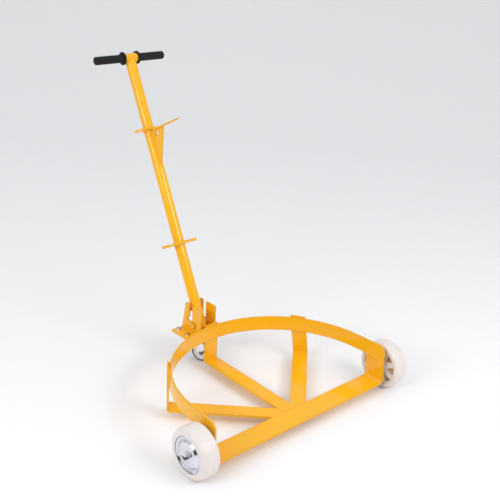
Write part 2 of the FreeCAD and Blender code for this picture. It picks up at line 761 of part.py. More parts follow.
def make_wheel(name, side):
    """Moulded wheel with pockets in its inner face, its bush, and the pressed cover in its outer face."""
    bore = "(bush_radius + press_gap)"
    wheel = turned(f"{name}_wheel", "H_Axis", [
        ("0", bore), ("0", "hub_boss_radius"), ("inner_dish", "dish_start_radius"),
        ("inner_dish", "dish_end_radius"), ("0", "inner_rim_radius"), ("0", "wheel_radius"),
        ("wheel_wide", "wheel_radius"), ("wheel_wide", "dish_radius"), (HUB_LONG, "dish_radius"),
        (HUB_LONG, bore)])
    for shoulder, face in (("wheel_shoulder", "wheel_wide"), ("inner_shoulder", "0")):
        round_edges(wheel, shoulder, lambda edge: circular(edge, "wheel_radius")
                    and close(edge.CenterOfMass.x, face))
    half_turn = "180 / pocket_count"

    def half_width(radius):
        return f"({radius} * tan({half_turn}) - pocket_rib / 2 / cos({half_turn}))"

    window = [(f"-{half_width('pocket_low')}", "pocket_low"), (half_width("pocket_low"), "pocket_low"),
              (half_width("pocket_high"), "pocket_high"), (f"-{half_width('pocket_high')}", "pocket_high")]
    sketch = draw_polygon(new_sketch(wheel, "YZ_Plane"), window)
    spread(wheel, pocket(wheel, sketch, "pocket_deep", back=True), sketch, "pocket_count")
    bush = turned(f"{name}_wheel_bush", "H_Axis",
                  ring_corners("axle_radius + run_gap", "bush_radius", "0", HUB_LONG))
    lip = "(wheel_wide - cover_sunk)"
    edge = "dish_radius - press_gap"
    hole = "axle_radius + end_play"
    floor = f"({HUB_LONG} + cover_thick)"
    cover = turned(f"{name}_hub_cover", "H_Axis", [
        (COVER_BACK, hole), (COVER_BACK, "cover_top_radius - cover_thick"),
        (HUB_LONG, "cover_groove_radius - cover_thick"), (HUB_LONG, "cover_floor_radius"),
        (f"{lip} - cover_thick", edge), (lip, edge), (floor, "cover_floor_radius - cover_thick / 2"),
        (floor, "cover_groove_radius"), (COVER_OUT, "cover_top_radius"), (COVER_OUT, hole)])
    for piece in (wheel, bush, cover):
        place_side(piece, side, WHEEL_IN, "bar_y", "wheel_radius")


# Swivel caster


def make_caster_mounting():
    """Caster top plate under the rear plate, with its bolts, nuts and kingpin."""
    body = new_body("caster_plate")
    x = "caster_plate_wide / 2"
    y = "caster_plate_long / 2"
    corners = [(f"-{x}", f"-{y}"), (x, f"-{y}"), (x, y), (f"-{x}", y)]
    pad(body, draw_polygon(new_sketch(body, "XY_Plane", CASTER_LOW), corners), "caster_plate_thick")
    round_edges(body, "caster_plate_round", lambda edge: straight(edge, UP))
    holes = new_sketch(body, "XY_Plane", PLATE_LOW)
    for spot_x, spot_y in caster_spots():
        draw_circle(holes, spot_x, spot_y, "caster_hole_radius")
    pocket(body, holes, "caster_plate_thick + cut_over")
    seat = [("0", CASTER_LOW), ("kingpin_radius + press_gap", CASTER_LOW),
            ("kingpin_head_radius + press_gap", PLATE_LOW), ("0", PLATE_LOW)]
    groove(body, draw_polygon(new_sketch(body, "XZ_Plane"), seat), "V_Axis")
    place(body, "0", KINGPIN_Y)
    nut_top = f"({FORK_LOW} - end_play)"
    kingpin_end = f"({nut_top} - kingpin_nut - kingpin_tail)"
    pin = [("0", kingpin_end), ("kingpin_radius", kingpin_end), ("kingpin_radius", CASTER_LOW),
           ("kingpin_head_radius", PLATE_LOW), ("0", PLATE_LOW)]
    place(turned("kingpin", "V_Axis", pin), "0", KINGPIN_Y)
    flip = FreeCAD.Rotation(FreeCAD.Vector(1, 0, 0), 180)
    place(nut("kingpin_nut", "V_Axis", "kingpin_flats", "kingpin_nut", "kingpin_radius + press_gap"),
          "0", KINGPIN_Y, nut_top, flip)
    shank = "plate_thick + caster_plate_thick + caster_bolt_nut + caster_bolt_tail"
    bolts = []
    nuts = []
    for index, (spot_x, spot_y) in enumerate(caster_spots()):
        screw = bolt(f"caster_bolt_{index}", "V_Axis", "caster_bolt_flats", "caster_bolt_head",
                     "caster_bolt_radius", shank, kept=False)
        bolts.append(place(screw, spot_x, f"{KINGPIN_Y} + {spot_y}", PLATE_TOP))
        cap = nut(f"caster_nut_{index}", "V_Axis", "caster_bolt_flats", "caster_bolt_nut",
                  "caster_bolt_radius + press_gap", kept=False)
        nuts.append(place(cap, spot_x, f"{KINGPIN_Y} + {spot_y}", CASTER_LOW, flip))
    group("caster_bolts", bolts)
    group("caster_nuts", nuts)


def make_fork():
    """Swivelling fork: round top with a ball cup, and two legs that trail down to the axle."""
    body = new_body("caster_fork")
    disc = draw_circle(new_sketch(body, "XY_Plane", FORK_LOW), "0", "0", "fork_top_radius")
    pad(body, disc, "fork_thick")
    cup = upright_ring("race_radius - race_wall", "race_radius", FORK_TOP, f"{CASTER_LOW} - end_play")
    revolve(body, draw_polygon(new_sketch(body, "XZ_Plane"), cup), "V_Axis")
    leg = [("-fork_front", FORK_TOP), ("fork_back", FORK_TOP),
           ("caster_trail + fork_end_radius", "caster_wheel_radius"),
           ("caster_trail - fork_end_radius", "caster_wheel_radius")]
    for _, side in SIDES:
        inner = f"{side} * {FORK_HALF}"
        back = side == "-1"
        pad(body, draw_polygon(new_sketch(body, "YZ_Plane", inner), leg), "fork_thick", back=back)
        end = draw_circle(new_sketch(body, "YZ_Plane", inner), "caster_trail", "caster_wheel_radius",
                          "fork_end_radius")
        pad(body, end, "fork_thick", back=back)
    axle = draw_circle(new_sketch(body, "YZ_Plane"), "caster_trail", "caster_wheel_radius",
                       "caster_axle_radius + press_gap")
    pocket(body, axle, f"2 * {FORK_OUT} + cut_over", symmetric=True)
    swivel = draw_circle(new_sketch(body, "XY_Plane", FORK_TOP), "0", "0", "kingpin_radius + run_gap")
    pocket(body, swivel, "fork_thick + cut_over")
    place_on_caster(body)


def make_swivel_balls():
    """Ring of balls between the caster's plate and its fork."""
    balls = []
    for index in range(int(worth("ball_count"))):
        ball = doc.addObject("Part::Sphere", f"swivel_ball_{index}")
        bind(ball, "Radius", "ball_radius")
        turn = f"360 / ball_count * {index}"
        place(ball, f"ball_ring_radius * cos({turn})", f"{KINGPIN_Y} + ball_ring_radius * sin({turn})",
              f"{FORK_TOP} + ball_radius + run_gap")
        balls.append(ball)
    group("swivel_balls", balls)


def make_caster_wheel():
    """Small wheel with its tyre and bush, on a sleeve and bolt across the fork."""
    half = "(caster_wheel_wide / 2)"
    core = "(caster_wheel_radius - caster_tyre_thick)"
    web = f"({half} - caster_face_deep)"
    bore = "(caster_bush_radius + press_gap)"
    side_view = [(half, bore), (half, "caster_hub_radius"), (web, "caster_hub_radius"),
                 (web, f"{core} - caster_face_deep"), (half, f"{core} - caster_face_deep"), (half, core)]
    other_side = [(f"-{x}", radius) for x, radius in reversed(side_view)]
    wheel = turned("caster_wheel", "H_Axis", side_view + other_side)
    tyre = turned("caster_tyre", "H_Axis",
                  ring_corners(f"{core} + press_gap", "caster_wheel_radius", f"-{half}", half))
    round_edges(tyre, "caster_tyre_thick / 2", lambda edge: circular(edge, "caster_wheel_radius"))
    bush = turned("caster_bush", "H_Axis",
                  ring_corners("caster_sleeve_radius + run_gap", "caster_bush_radius", f"-{half}", half))
    sleeve_half = f"({FORK_HALF} - run_gap)"
    sleeve = turned("caster_sleeve", "H_Axis",
                    ring_corners("caster_axle_radius + press_gap", "caster_sleeve_radius",
                                 f"-{sleeve_half}", sleeve_half))
    for piece in (wheel, tyre, bush, sleeve):
        place_on_caster(piece, "caster_trail", "caster_wheel_radius")
    shank = f"2 * {FORK_OUT} + caster_axle_nut + caster_axle_tail"
    axle = bolt("caster_axle_bolt", "H_Axis", "caster_axle_flats", "caster_axle_head",
                "caster_axle_radius", shank)
    holder = nut("caster_axle_nut", "H_Axis", "caster_axle_flats", "caster_axle_nut",
                 "caster_axle_radius + press_gap")
    for piece, side, opposite in ((axle, "1", "0"), (holder, "-1", "180")):
        across = f"{side} * {FORK_OUT}"
        x = f"{across} * cos(caster_turn) + caster_trail * sin(caster_turn)"
        y = f"{KINGPIN_Y} - {across} * sin(caster_turn) + caster_trail * cos(caster_turn)"
        place(piece, x, y, "caster_wheel_radius", FreeCAD.Rotation(TURN_AXIS, 1))
        bind(piece, "Placement.Rotation.Angle", f"caster_turn + {opposite}")


# Handle


def make_handle_tube():
    """Round handle tube with the pivot sleeve across its foot, its top shaped to the grip bar's hub."""
    top = "(grip_bar_reach - grip_hub_radius / 2)"
    tube = turned("handle_tube", "V_Axis",
                  upright_ring("tube_radius - tube_wall", "tube_radius", "-tube_below", top))
    cross_holes = (("0", "sleeve_radius + press_gap"), ("grip_bar_reach", "grip_hub_radius + weld_gap"))
    for height, radius in cross_holes:
        hole = draw_circle(new_sketch(tube, "YZ_Plane"), "0", height, radius)
        pocket(tube, hole, "2 * tube_radius + cut_over", symmetric=True)
    place_on_handle(tube)
    sleeve_half = "(ear_gap / 2 - end_play)"
    section = ring_corners("pivot_bolt_radius + run_gap", "sleeve_radius", f"-{sleeve_half}", sleeve_half)
    sleeve = turned("pivot_sleeve", "H_Axis", section)
    place(sleeve, "0", PIVOT_Y, PIVOT_Z)


def make_grips():
    """Hub across the tube's top, the bar through it, and a flanged rubber grip on each half of the bar."""
    hub_half = "(grip_start - end_play)"
    hub = turned("grip_hub", "H_Axis",
                 ring_corners("grip_bar_radius + press_gap", "grip_hub_radius", f"-{hub_half}", hub_half))
    place(hub, "0", BAR_AXIS_Y, BAR_AXIS_Z)
    cross = turned("grip_bar", "H_Axis",
                   ring_corners("grip_bar_radius - grip_bar_wall", "grip_bar_radius",
                                "-grip_bar_half", "grip_bar_half"))
    place(cross, "0", BAR_AXIS_Y, BAR_AXIS_Z)
    shaft = "grip_bar_radius + press_gap"
    flange_end = "(grip_start + grip_flange)"
    for name, side in SIDES:
        grip = turned(f"{name}_grip", "H_Axis", [
            ("grip_start", shaft), ("grip_start", "grip_flange_radius"), (flange_end, "grip_flange_radius"),
            (flange_end, "grip_radius"), (GRIP_END, "grip_radius"), (GRIP_END, "0"),
            ("grip_bar_half", "0"), ("grip_bar_half", shaft)])
        round_edges(grip, "grip_round", lambda edge: circular(edge, "grip_radius")
                    and close(edge.CenterOfMass.x, GRIP_END))
        place_side(grip, side, "0", BAR_AXIS_Y, BAR_AXIS_Z)


def make_collar(label, reach, half, deep, thick):
    """Round-ended plate that the handle tube passes through."""
    body = new_body(label)
    corners = [(f"-{half}", f"-{deep} / 2"), (half, f"-{deep} / 2"),
               (half, f"{deep} / 2"), (f"-{half}", f"{deep} / 2")]
    pad(body, draw_polygon(new_sketch(body, "XY_Plane", f"{reach} - {thick} / 2"), corners), thick)
    round_edges(body, "collar_round", lambda edge: straight(edge, UP))
    round_edges(body, "edge_ease", lambda edge: in_plane(edge, "z", f"{reach} - {thick} / 2")
                or in_plane(edge, "z", f"{reach} + {thick} / 2"))
    hole = draw_circle(new_sketch(body, "XY_Plane", reach), "0", "0", "tube_radius + press_gap")
    pocket(body, hole, f"2 * {thick}", symmetric=True)
    place_on_handle(body)


def make_drum_hook():
    """Pointed horn in front of the tube, carried by a three-cornered gusset with a hanging hole."""
    gusset = new_body("hook_gusset")
    inner = "-(tube_radius + weld_gap)"
    nose = f"{GUSSET_TOP} - gusset_nose"
    outline = [(inner, f"{GUSSET_TOP} - gusset_high"), (inner, GUSSET_TOP),
               ("-gusset_reach", GUSSET_TOP), ("-gusset_reach", nose)]
    pad(gusset, draw_polygon(new_sketch(gusset, "YZ_Plane"), outline), "gusset_thick", symmetric=True)
    hole = draw_circle(new_sketch(gusset, "YZ_Plane"), "-gusset_hole_out",
                       f"{GUSSET_TOP} - gusset_hole_drop", "gusset_hole_radius")
    pocket(gusset, hole, "2 * gusset_thick", symmetric=True)
    place_on_handle(gusset)
    horn = new_body("hook_horn")
    height = f"({GUSSET_TOP} + horn_radius)"
    root = "(tube_radius + weld_gap)"
    shaft = draw_circle(new_sketch(horn, "XZ_Plane", root), "0", height, "horn_radius")
    pad(horn, shaft, f"horn_reach - horn_taper - {root}")
    point = horn.newObject("PartDesign::AdditiveLoft", "hook_horn_point")
    neck = new_sketch(horn, "XZ_Plane", "horn_reach - horn_taper")
    tip = new_sketch(horn, "XZ_Plane", "horn_reach")
    point.Profile = draw_circle(neck, "0", height, "horn_radius")
    point.Sections = [draw_circle(tip, "0", height, "horn_tip_radius")]
    finish_feature(horn, point)
    place_on_handle(horn)


make_ring_band()
make_front_bar()
make_middle_strap()
for name, side in SIDES:
    make_slanted_strap(name, side)
make_rear_plate()
for name, side in SIDES:
    make_ear(name, side)
make_handle_rest()
make_pivot()
for name, side in SIDES:
    make_axle(name, side)
    make_wheel(name, side)
make_caster_mounting()
make_fork()
make_swivel_balls()
make_caster_wheel()
make_handle_tube()
make_grips()
make_collar("hook_collar", "hook_reach", "hook_half", "hook_deep", "hook_thick")
make_collar("rest_collar", "rest_reach", "rest_half", "rest_deep", "rest_thick")
make_drum_hook()
doc.recompute()

for item in doc.Objects:
    if "Invalid" in item.State or "Error" in item.State:
        raise RuntimeError(f"{item.Label} did not compute")
for piece in pieces:
    if piece.Shape.isNull() or not piece.Shape.isValid():
        raise RuntimeError(f"{piece.Label} has no valid shape")

os.makedirs("parts", exist_ok=True)
for piece in pieces:
    piece.Shape.exportStep(f"parts/{piece.Label}.step")

whole = FreeCAD.BoundBox()
for piece in pieces:
    whole.add(piece.Shape.BoundBox)
print(len(pieces), "nodes, box", whole)
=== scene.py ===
import json
import math

import bpy
from bpy.props import FloatProperty, FloatVectorProperty, IntProperty, PointerProperty
from mathutils import Matrix, Vector
from mathutils.bvhtree import BVHTree


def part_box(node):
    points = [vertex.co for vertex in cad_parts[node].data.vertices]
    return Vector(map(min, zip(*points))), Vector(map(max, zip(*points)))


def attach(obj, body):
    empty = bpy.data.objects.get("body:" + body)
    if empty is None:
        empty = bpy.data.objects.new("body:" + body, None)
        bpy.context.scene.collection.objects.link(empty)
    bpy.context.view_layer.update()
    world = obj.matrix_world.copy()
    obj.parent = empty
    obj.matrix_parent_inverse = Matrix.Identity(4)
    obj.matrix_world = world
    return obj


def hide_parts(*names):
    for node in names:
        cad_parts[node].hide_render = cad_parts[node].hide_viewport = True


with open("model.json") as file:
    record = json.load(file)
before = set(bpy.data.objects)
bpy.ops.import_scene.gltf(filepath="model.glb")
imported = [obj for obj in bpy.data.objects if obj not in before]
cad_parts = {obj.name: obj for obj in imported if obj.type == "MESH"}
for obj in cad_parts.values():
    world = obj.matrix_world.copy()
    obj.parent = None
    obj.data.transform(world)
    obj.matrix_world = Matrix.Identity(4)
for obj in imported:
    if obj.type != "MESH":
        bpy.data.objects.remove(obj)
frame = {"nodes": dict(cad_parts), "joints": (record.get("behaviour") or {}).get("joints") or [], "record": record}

bl_info = {
    "name": "Drum trolley dressing",
    "version": (1, 0, 0),
    "blender": (4, 5, 0),
    "location": "View3D > Sidebar > Drum trolley",
    "description": "Paints a steel drum trolley, adds its weld beads and rubber grips, and sets its stage",
    "category": "Object",
}

MM = 0.001
X, Y, Z = range(3)
ACROSS = Vector((1, 0, 0))
UPWARD = Vector((0, 0, 1))
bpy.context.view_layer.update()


# Places read from the frame


def node_reach(node, axis):
    """How far a node reaches along X, Y or Z, as its lowest and highest value in metres."""
    low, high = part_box(node)
    return low[axis], high[axis]


def node_middle(node):
    """Middle of a node's box, in metres."""
    low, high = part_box(node)
    return (Vector(low) + Vector(high)) / 2


def joint_place(name):
    """A point on a joint's axis, in metres."""
    return Vector(next(joint["pos_m"] for joint in frame["joints"] if joint["name"] == name))


def mount_place(name):
    """The middle of a mount, in metres."""
    return Vector(next(mount["pos_m"] for mount in frame["record"]["mounts"] if mount["name"] == name))


# The handle's pivot, its direction and its cross bar
PIVOT = joint_place("handle_tilt")
GRIP_MIDDLE = node_middle("grip_bar")
GRIP_REACH = (GRIP_MIDDLE - PIVOT).length
UP_HANDLE = (GRIP_MIDDLE - PIVOT).normalized()
BEHIND_HANDLE = UP_HANDLE.cross(ACROSS)

# The half ring and the flat bars under it, with the drum's seat on their top
RING_CENTRE = mount_place("drum_seat")
RING_LOW, RING_TOP = node_reach("ring_band", Z)
STRAP_TOP = RING_CENTRE.z
BAR_THICK = STRAP_TOP - node_reach("middle_strap", Z)[0]

# A distance from the middle that is well outside the trolley, in metres
OUTSIDE = 1.0


def node_points(node):
    """Corners of a node's surface, in metres."""
    return [point.co for point in frame["nodes"][node].data.vertices]


def touch(node, start, direction):
    """Where a line that starts outside a node first meets it, in metres."""
    faces = [face.vertices for face in frame["nodes"][node].data.polygons]
    skin = BVHTree.FromPolygons(node_points(node), faces)
    spot = skin.ray_cast(Vector(start), Vector(direction))[0]
    if spot is None:
        raise ValueError(f"the line misses {node}")
    return spot


def on_handle(across, behind, along):
    """A point given in the handle's own directions from the pivot, in metres."""
    return PIVOT + ACROSS * across + BEHIND_HANDLE * behind + UP_HANDLE * along


def along_handle(node):
    """Where a node starts and ends along the handle, counted from the pivot in metres."""
    heights = [(point - PIVOT).dot(UP_HANDLE) for point in node_points(node)]
    return min(heights), max(heights)


# User settings


class TrolleyPaint(bpy.types.PropertyGroup):
    """Powder coat on the steelwork"""

    colour: FloatVectorProperty(
        name="Paint", description="Main colour of the powder coat",
        subtype="COLOR", size=3, min=0, max=1, default=(0.94, 0.465, 0.004))
    deep_colour: FloatVectorProperty(
        name="Thin coat", description="Colour where the coat is thin or lies in a corner",
        subtype="COLOR", size=3, min=0, max=1, default=(0.80, 0.34, 0.004))
    # Darker coat on sharp edges: partly thin coat over the edge, partly painted shade on edges and narrow side
    # faces
    thin_edge_and_shade_colour: FloatVectorProperty(
        name="Edges", description="Colour of the coat where it has drawn thin over a sharp edge",
        subtype="COLOR", size=3, min=0, max=1, default=(0.40, 0.20, 0.02))
    peel_size: FloatProperty(
        name="Orange peel", description="Distance between the ripples of the coat",
        unit="LENGTH", default=0.0016, min=0.0002)


class TrolleyWheels(bpy.types.PropertyGroup):
    """Moulded wheels and their covers"""

    nylon_colour: FloatVectorProperty(
        name="Nylon", description="Colour of the moulded front wheels",
        subtype="COLOR", size=3, min=0, max=1, default=(0.765, 0.705, 0.67))
    # Painted reflected light: a warm yellow tint inside the pockets stands in for light bounced from the painted
    # frame
    pocket_bounce_colour: FloatVectorProperty(
        name="Pockets", description="Colour of the nylon deep inside the moulded pockets",
        subtype="COLOR", size=3, min=0, max=1, default=(1.0, 0.78, 0.36))
    tyre_colour: FloatVectorProperty(
        name="Caster tyre", description="Colour of the caster's rubber tyre",
        subtype="COLOR", size=3, min=0, max=1, default=(0.03, 0.03, 0.033))
    cover_colour: FloatVectorProperty(
        name="Cover", description="Colour of the bright pressed wheel covers",
        subtype="COLOR", size=3, min=0, max=1, default=(0.79, 0.78, 0.86))


class TrolleyWelds(bpy.types.PropertyGroup):
    """Weld beads on the frame and the handle"""

    bead_radius: FloatProperty(
        name="Bead radius", description="Half the width of a weld bead",
        unit="LENGTH", default=0.0027, min=0.0005)
    ripple: FloatProperty(
        name="Ripple", description="Distance between the ripples along a bead",
        unit="LENGTH", default=0.0032, min=0.0005)


class TrolleyGrips(bpy.types.PropertyGroup):
    """Rubber grips on the handle"""

    colour: FloatVectorProperty(
        name="Rubber", description="Colour of the rubber grips",
        subtype="COLOR", size=3, min=0, max=1, default=(0.0065, 0.006, 0.006))
    ring_count: IntProperty(
        name="Rings", description="Number of shallow rings round each grip", default=9, min=0)
    ring_depth: FloatProperty(
        name="Ring depth", description="Depth of the shallow rings",
        unit="LENGTH", default=0.0004, min=0)


class TrolleyStage(bpy.types.PropertyGroup):
    """Floor, lights and camera"""

    floor_colour: FloatVectorProperty(
        name="Floor", description="Colour of the studio floor",
        subtype="COLOR", size=3, min=0, max=1, default=(0.90, 0.90, 0.905))
    camera_place: FloatVectorProperty(
        name="Camera", description="Where the camera stands, counted from the ring's centre on the floor",
        subtype="TRANSLATION", size=3, default=(-1.44183, -1.37840, 1.31649))
    camera_turn: FloatVectorProperty(
        name="Camera angles", description="Azimuth, elevation and roll of the camera",
        subtype="EULER", size=3,
        default=(math.radians(-43.03), math.radians(22.65), math.radians(3.23)))
    lens: FloatProperty(
        name="Lens", description="Focal length on a 36 mm wide sensor",
        unit="CAMERA", default=61.29, min=10)
    box_power: FloatProperty(
        name="Soft boxes", description="Power of each of the two soft boxes", default=17.5, min=0)
    overhead: FloatProperty(
        name="Overhead", description="Strength of the pale surround overhead", default=0.98, min=0)
    horizon: FloatProperty(
        name="Horizon", description="Strength of the pale surround at eye level", default=0.5, min=0)


# Shader building blocks

# How alike the plain and the rounded surface directions are beside an edge and on it
EDGE_START = 0.995
EDGE_FULL = 0.9


def add(tree, kind, values=None, **settings):
    """Add a node with some settings; a socket takes a plain value or another node's output."""
    node = tree.nodes.new(kind)
    for key, value in settings.items():
        setattr(node, key, value)
    for key, value in (values or {}).items():
        if isinstance(value, bpy.types.NodeSocket):
            tree.links.new(value, node.inputs[key])
        else:
            node.inputs[key].default_value = value
    return node


def calculate(tree, operation, *values):
    """Work out a sum of numbers and give its result."""
    return add(tree, "ShaderNodeMath", dict(enumerate(values)), operation=operation).outputs[0]


def measure(tree, operation, *values):
    """Work out a sum of vectors and give its result, a vector or a number."""
    node = add(tree, "ShaderNodeVectorMath", dict(enumerate(values)), operation=operation)
    return node.outputs["Value" if operation in ("LENGTH", "DOT_PRODUCT") else "Vector"]


def height_of(tree, vector):
    """The part of a vector that points up."""
    return add(tree, "ShaderNodeSeparateXYZ", {0: vector}).outputs["Z"]


def remap(tree, value, low=0, high=1, new_low=0, new_high=1):
    """Stretch a value from one range to another, with smooth ends."""
    limits = {"Value": value, "From Min": low, "From Max": high, "To Min": new_low, "To Max": new_high}
    return add(tree, "ShaderNodeMapRange", limits, interpolation_type="SMOOTHSTEP").outputs["Result"]


def new_group(name, output, **inputs):
    """Start a shader node group and give its tree, its inputs and its one output."""
    tree = bpy.data.node_groups.new(name, "ShaderNodeTree")
    for label, value in inputs.items():
        kind = "NodeSocketVector" if isinstance(value, tuple) else "NodeSocketFloat"
        tree.interface.new_socket(label, in_out="INPUT", socket_type=kind).default_value = value
    tree.interface.new_socket(output, in_out="OUTPUT", socket_type="NodeSocketFloat")
    given = tree.nodes.new("NodeGroupInput").outputs
    return tree, given, tree.nodes.new("NodeGroupOutput").inputs[output]


def axle_distance(tree, vector, centre):
    """Distance from an axle along X."""
    flat = measure(tree, "MULTIPLY", measure(tree, "SUBTRACT", vector, centre), (0, 1, 1))
    return measure(tree, "LENGTH", flat)


def build_grain_group(name):
    """Fine bumps of a coat or a moulding, as a height."""
    tree, given, result = new_group(name, "Height", Vector=(0, 0, 0), Scale=600)
    noise = add(tree, "ShaderNodeTexNoise", {"Vector": given["Vector"], "Scale": given["Scale"],
                                             "Detail": 2, "Roughness": 0.5})
    tree.links.new(remap(tree, noise.outputs["Fac"], low=0.25, high=0.75), result)
    return tree


def build_patch_group(name):
    """Soft uneven patches, as a mask."""
    tree, given, result = new_group(name, "Mask", Vector=(0, 0, 0), Scale=20, Level=0.5, Softness=0.2)
    noise = add(tree, "ShaderNodeTexNoise", {"Vector": given["Vector"], "Scale": given["Scale"],
                                             "Detail": 6, "Roughness": 0.6, "Distortion": 0.4})
    low = calculate(tree, "SUBTRACT", given["Level"], given["Softness"])
    high = calculate(tree, "ADD", given["Level"], given["Softness"])
    tree.links.new(remap(tree, noise.outputs["Fac"], low=low, high=high), result)
    return tree


def build_dust_group(name):
    """Dust that thins out with height above the floor, as a mask."""
    tree, given, result = new_group(name, "Mask", Vector=(0, 0, 0), Height=0.08)
    height = height_of(tree, given["Vector"])
    fade = remap(tree, height, high=given["Height"], new_low=1, new_high=0)
    specks = add(tree, "ShaderNodeTexNoise", {"Vector": given["Vector"], "Scale": 180,
                                              "Detail": 5, "Roughness": 0.7})
    spread = remap(tree, specks.outputs["Fac"], low=0.4, high=0.7)
    tree.links.new(calculate(tree, "MULTIPLY", fade, spread), result)
    return tree


def build_lower_shade_group(name):
    """Painted shade that darkens a part below a height, with a fading top, as a mask."""
    tree, given, result = new_group(name, "Mask", Vector=(0, 0, 0), Height=0.05, Fade=0.003, Cover=0.9)
    low = calculate(tree, "SUBTRACT", given["Height"], given["Fade"])
    height = height_of(tree, given["Vector"])
    darkened_below = remap(tree, height, low=low, high=given["Height"], new_low=given["Cover"], new_high=0)
    tree.links.new(darkened_below, result)
    return tree


def build_edge_group(name):
    """Sharp edges, by how far the surface turns within a small width, as a mask."""
    tree, given, result = new_group(name, "Mask", Width=0.002)
    rounded = add(tree, "ShaderNodeBevel", {"Radius": given["Width"]}, samples=4)
    plain = add(tree, "ShaderNodeNewGeometry")
    alike = measure(tree, "DOT_PRODUCT", rounded.outputs["Normal"], plain.outputs["Normal"])
    tree.links.new(remap(tree, alike, low=EDGE_START, high=EDGE_FULL), result)
    return tree


def build_turning_group(name):
    """Fine rings left by turning or pressing round an axis along X, as a mask."""
    tree, given, result = new_group(name, "Mask", Vector=(0, 0, 0), Centre=(0, 0, 0), Scale=300)
    place = measure(tree, "SUBTRACT", given["Vector"], given["Centre"])
    wave = add(tree, "ShaderNodeTexWave", {"Vector": place, "Scale": given["Scale"],
                                           "Distortion": 1.5, "Detail": 3, "Detail Scale": 2},
               wave_type="RINGS", rings_direction="X")
    tree.links.new(wave.outputs["Fac"], result)
    return tree


def build_grime_and_shade_group(name):
    """A line of grime and painted shade round an axle along X, as a mask."""
    tree, given, result = new_group(name, "Mask", Vector=(0, 0, 0), Centre=(0, 0, 0),
                                    Radius=0.04, Width=0.001)
    distance = axle_distance(tree, given["Vector"], given["Centre"])
    off = calculate(tree, "ABSOLUTE", calculate(tree, "SUBTRACT", distance, given["Radius"]))
    tree.links.new(remap(tree, off, high=given["Width"], new_low=1, new_high=0), result)
    return tree


def build_pocket_bounce_group(name):
    """The inside of a wheel's pockets, by depth and by distance from the axle, as a mask for painted warm bounce
    light.
    """
    tree, given, result = new_group(name, "Mask", Vector=(0, 0, 0), Centre=(0, 0, 0), Radius=0.05,
                                    Face=0.3, Depth=0.01, Bottom=0.03)
    distance = axle_distance(tree, given["Vector"], given["Centre"])
    near = calculate(tree, "LESS_THAN", distance, given["Radius"])
    across = add(tree, "ShaderNodeSeparateXYZ", {0: given["Vector"]}).outputs["X"]
    inward = calculate(tree, "SUBTRACT", calculate(tree, "ABSOLUTE", across), given["Face"])
    deep = remap(tree, inward, high=given["Depth"])
    above = calculate(tree, "LESS_THAN", inward, given["Bottom"])
    mask = calculate(tree, "MULTIPLY", calculate(tree, "MULTIPLY", deep, near), above)
    tree.links.new(mask, result)
    return tree


EFFECTS = {
    "Surface grain": build_grain_group,
    "Uneven patches": build_patch_group,
    "Floor dust": build_dust_group,
    "Painted lower shade": build_lower_shade_group,
    "Edge mask": build_edge_group,
    "Turned rings": build_turning_group,
    "Grime and shade line": build_grime_and_shade_group,
    "Pocket bounce light": build_pocket_bounce_group,
}

# Places of the colour sockets on a mixing node
MIX_MASK, MIX_FIRST, MIX_SECOND = 0, 6, 7
MIX_RESULT = 2


class Finish:
    """A material under construction, with its surface shader and the place on the object as a vector."""

    def __init__(self, name, **constants):
        self.material = bpy.data.materials.new(name)
        self.material.use_nodes = True
        self.tree = self.material.node_tree
        self.shader = self.tree.nodes["Principled BSDF"]
        self.place = add(self.tree, "ShaderNodeTexCoord").outputs["Object"]
        for socket, value in constants.items():
            self.shader.inputs[socket.replace("_", " ")].default_value = value

    def effect(self, name, **values):
        """Place a shared effect and give its mask or height."""
        group = bpy.data.node_groups.get(name) or EFFECTS[name](name)
        node = add(self.tree, "ShaderNodeGroup", values, node_tree=group)
        if "Vector" in node.inputs:
            self.tree.links.new(self.place, node.inputs["Vector"])
        return node.outputs[0]

    def feed(self, socket, value):
        """Link a value into the surface shader."""
        self.tree.links.new(value, self.shader.inputs[socket])

    def bump(self, height, strength, depth):
        """Raise the surface by a height that varies over it."""
        node = add(self.tree, "ShaderNodeBump", {"Strength": strength, "Distance": depth, "Height": height})
        self.feed("Normal", node.outputs["Normal"])

    def between(self, mask, low, high):
        """Turn a mask into a number between two values."""
        return remap(self.tree, mask, new_low=low, new_high=high)

    def mix(self, mask, first, second, most=None):
        """Mix two colours by a mask, up to the largest share of the second one where that is given."""
        if most is not None:
            mask = self.between(mask, 0, most)
        colours = [value if isinstance(value, bpy.types.NodeSocket) else (*value, 1)
                   for value in (first, second)]
        sockets = {MIX_MASK: mask, MIX_FIRST: colours[0], MIX_SECOND: colours[1]}
        return add(self.tree, "ShaderNodeMix", sockets, data_type="RGBA").outputs[MIX_RESULT]


# Finishes

PAINT_EDGE_WIDTH = 5 * MM
PAINT_PEEL_DEPTH = 0.2 * MM
PAINT_DUST_HEIGHT = 60 * MM
PAINT_DUST = (0.60, 0.45, 0.25)

NYLON_GRAIN_DEPTH = 0.3 * MM
NYLON_DUST_HEIGHT = 50 * MM
NYLON_DUST = (0.42, 0.37, 0.32)
NYLON_GLOW_SIZE = 6 * MM
# Where the painted bounce light lies inside the pockets
POCKET_RADIUS = 52.5 * MM
POCKET_LIP = 4 * MM
POCKET_FADE = 12 * MM
POCKET_BOTTOM = 31 * MM

COVER_RING_DEPTH = 0.2 * MM
# Dark lines at the cover's rim gap and groove, grime together with painted shade
COVER_RIM_RADIUS = 48.2 * MM
COVER_RIM_WIDTH = 1.4 * MM
COVER_RIM_GRIME_AND_SHADE = (0.04, 0.04, 0.05)
COVER_GROOVE_RADIUS = 39.5 * MM
COVER_GROOVE_WIDTH = 1.6 * MM
COVER_GROOVE_GRIME_AND_SHADE = (0.05, 0.05, 0.06)

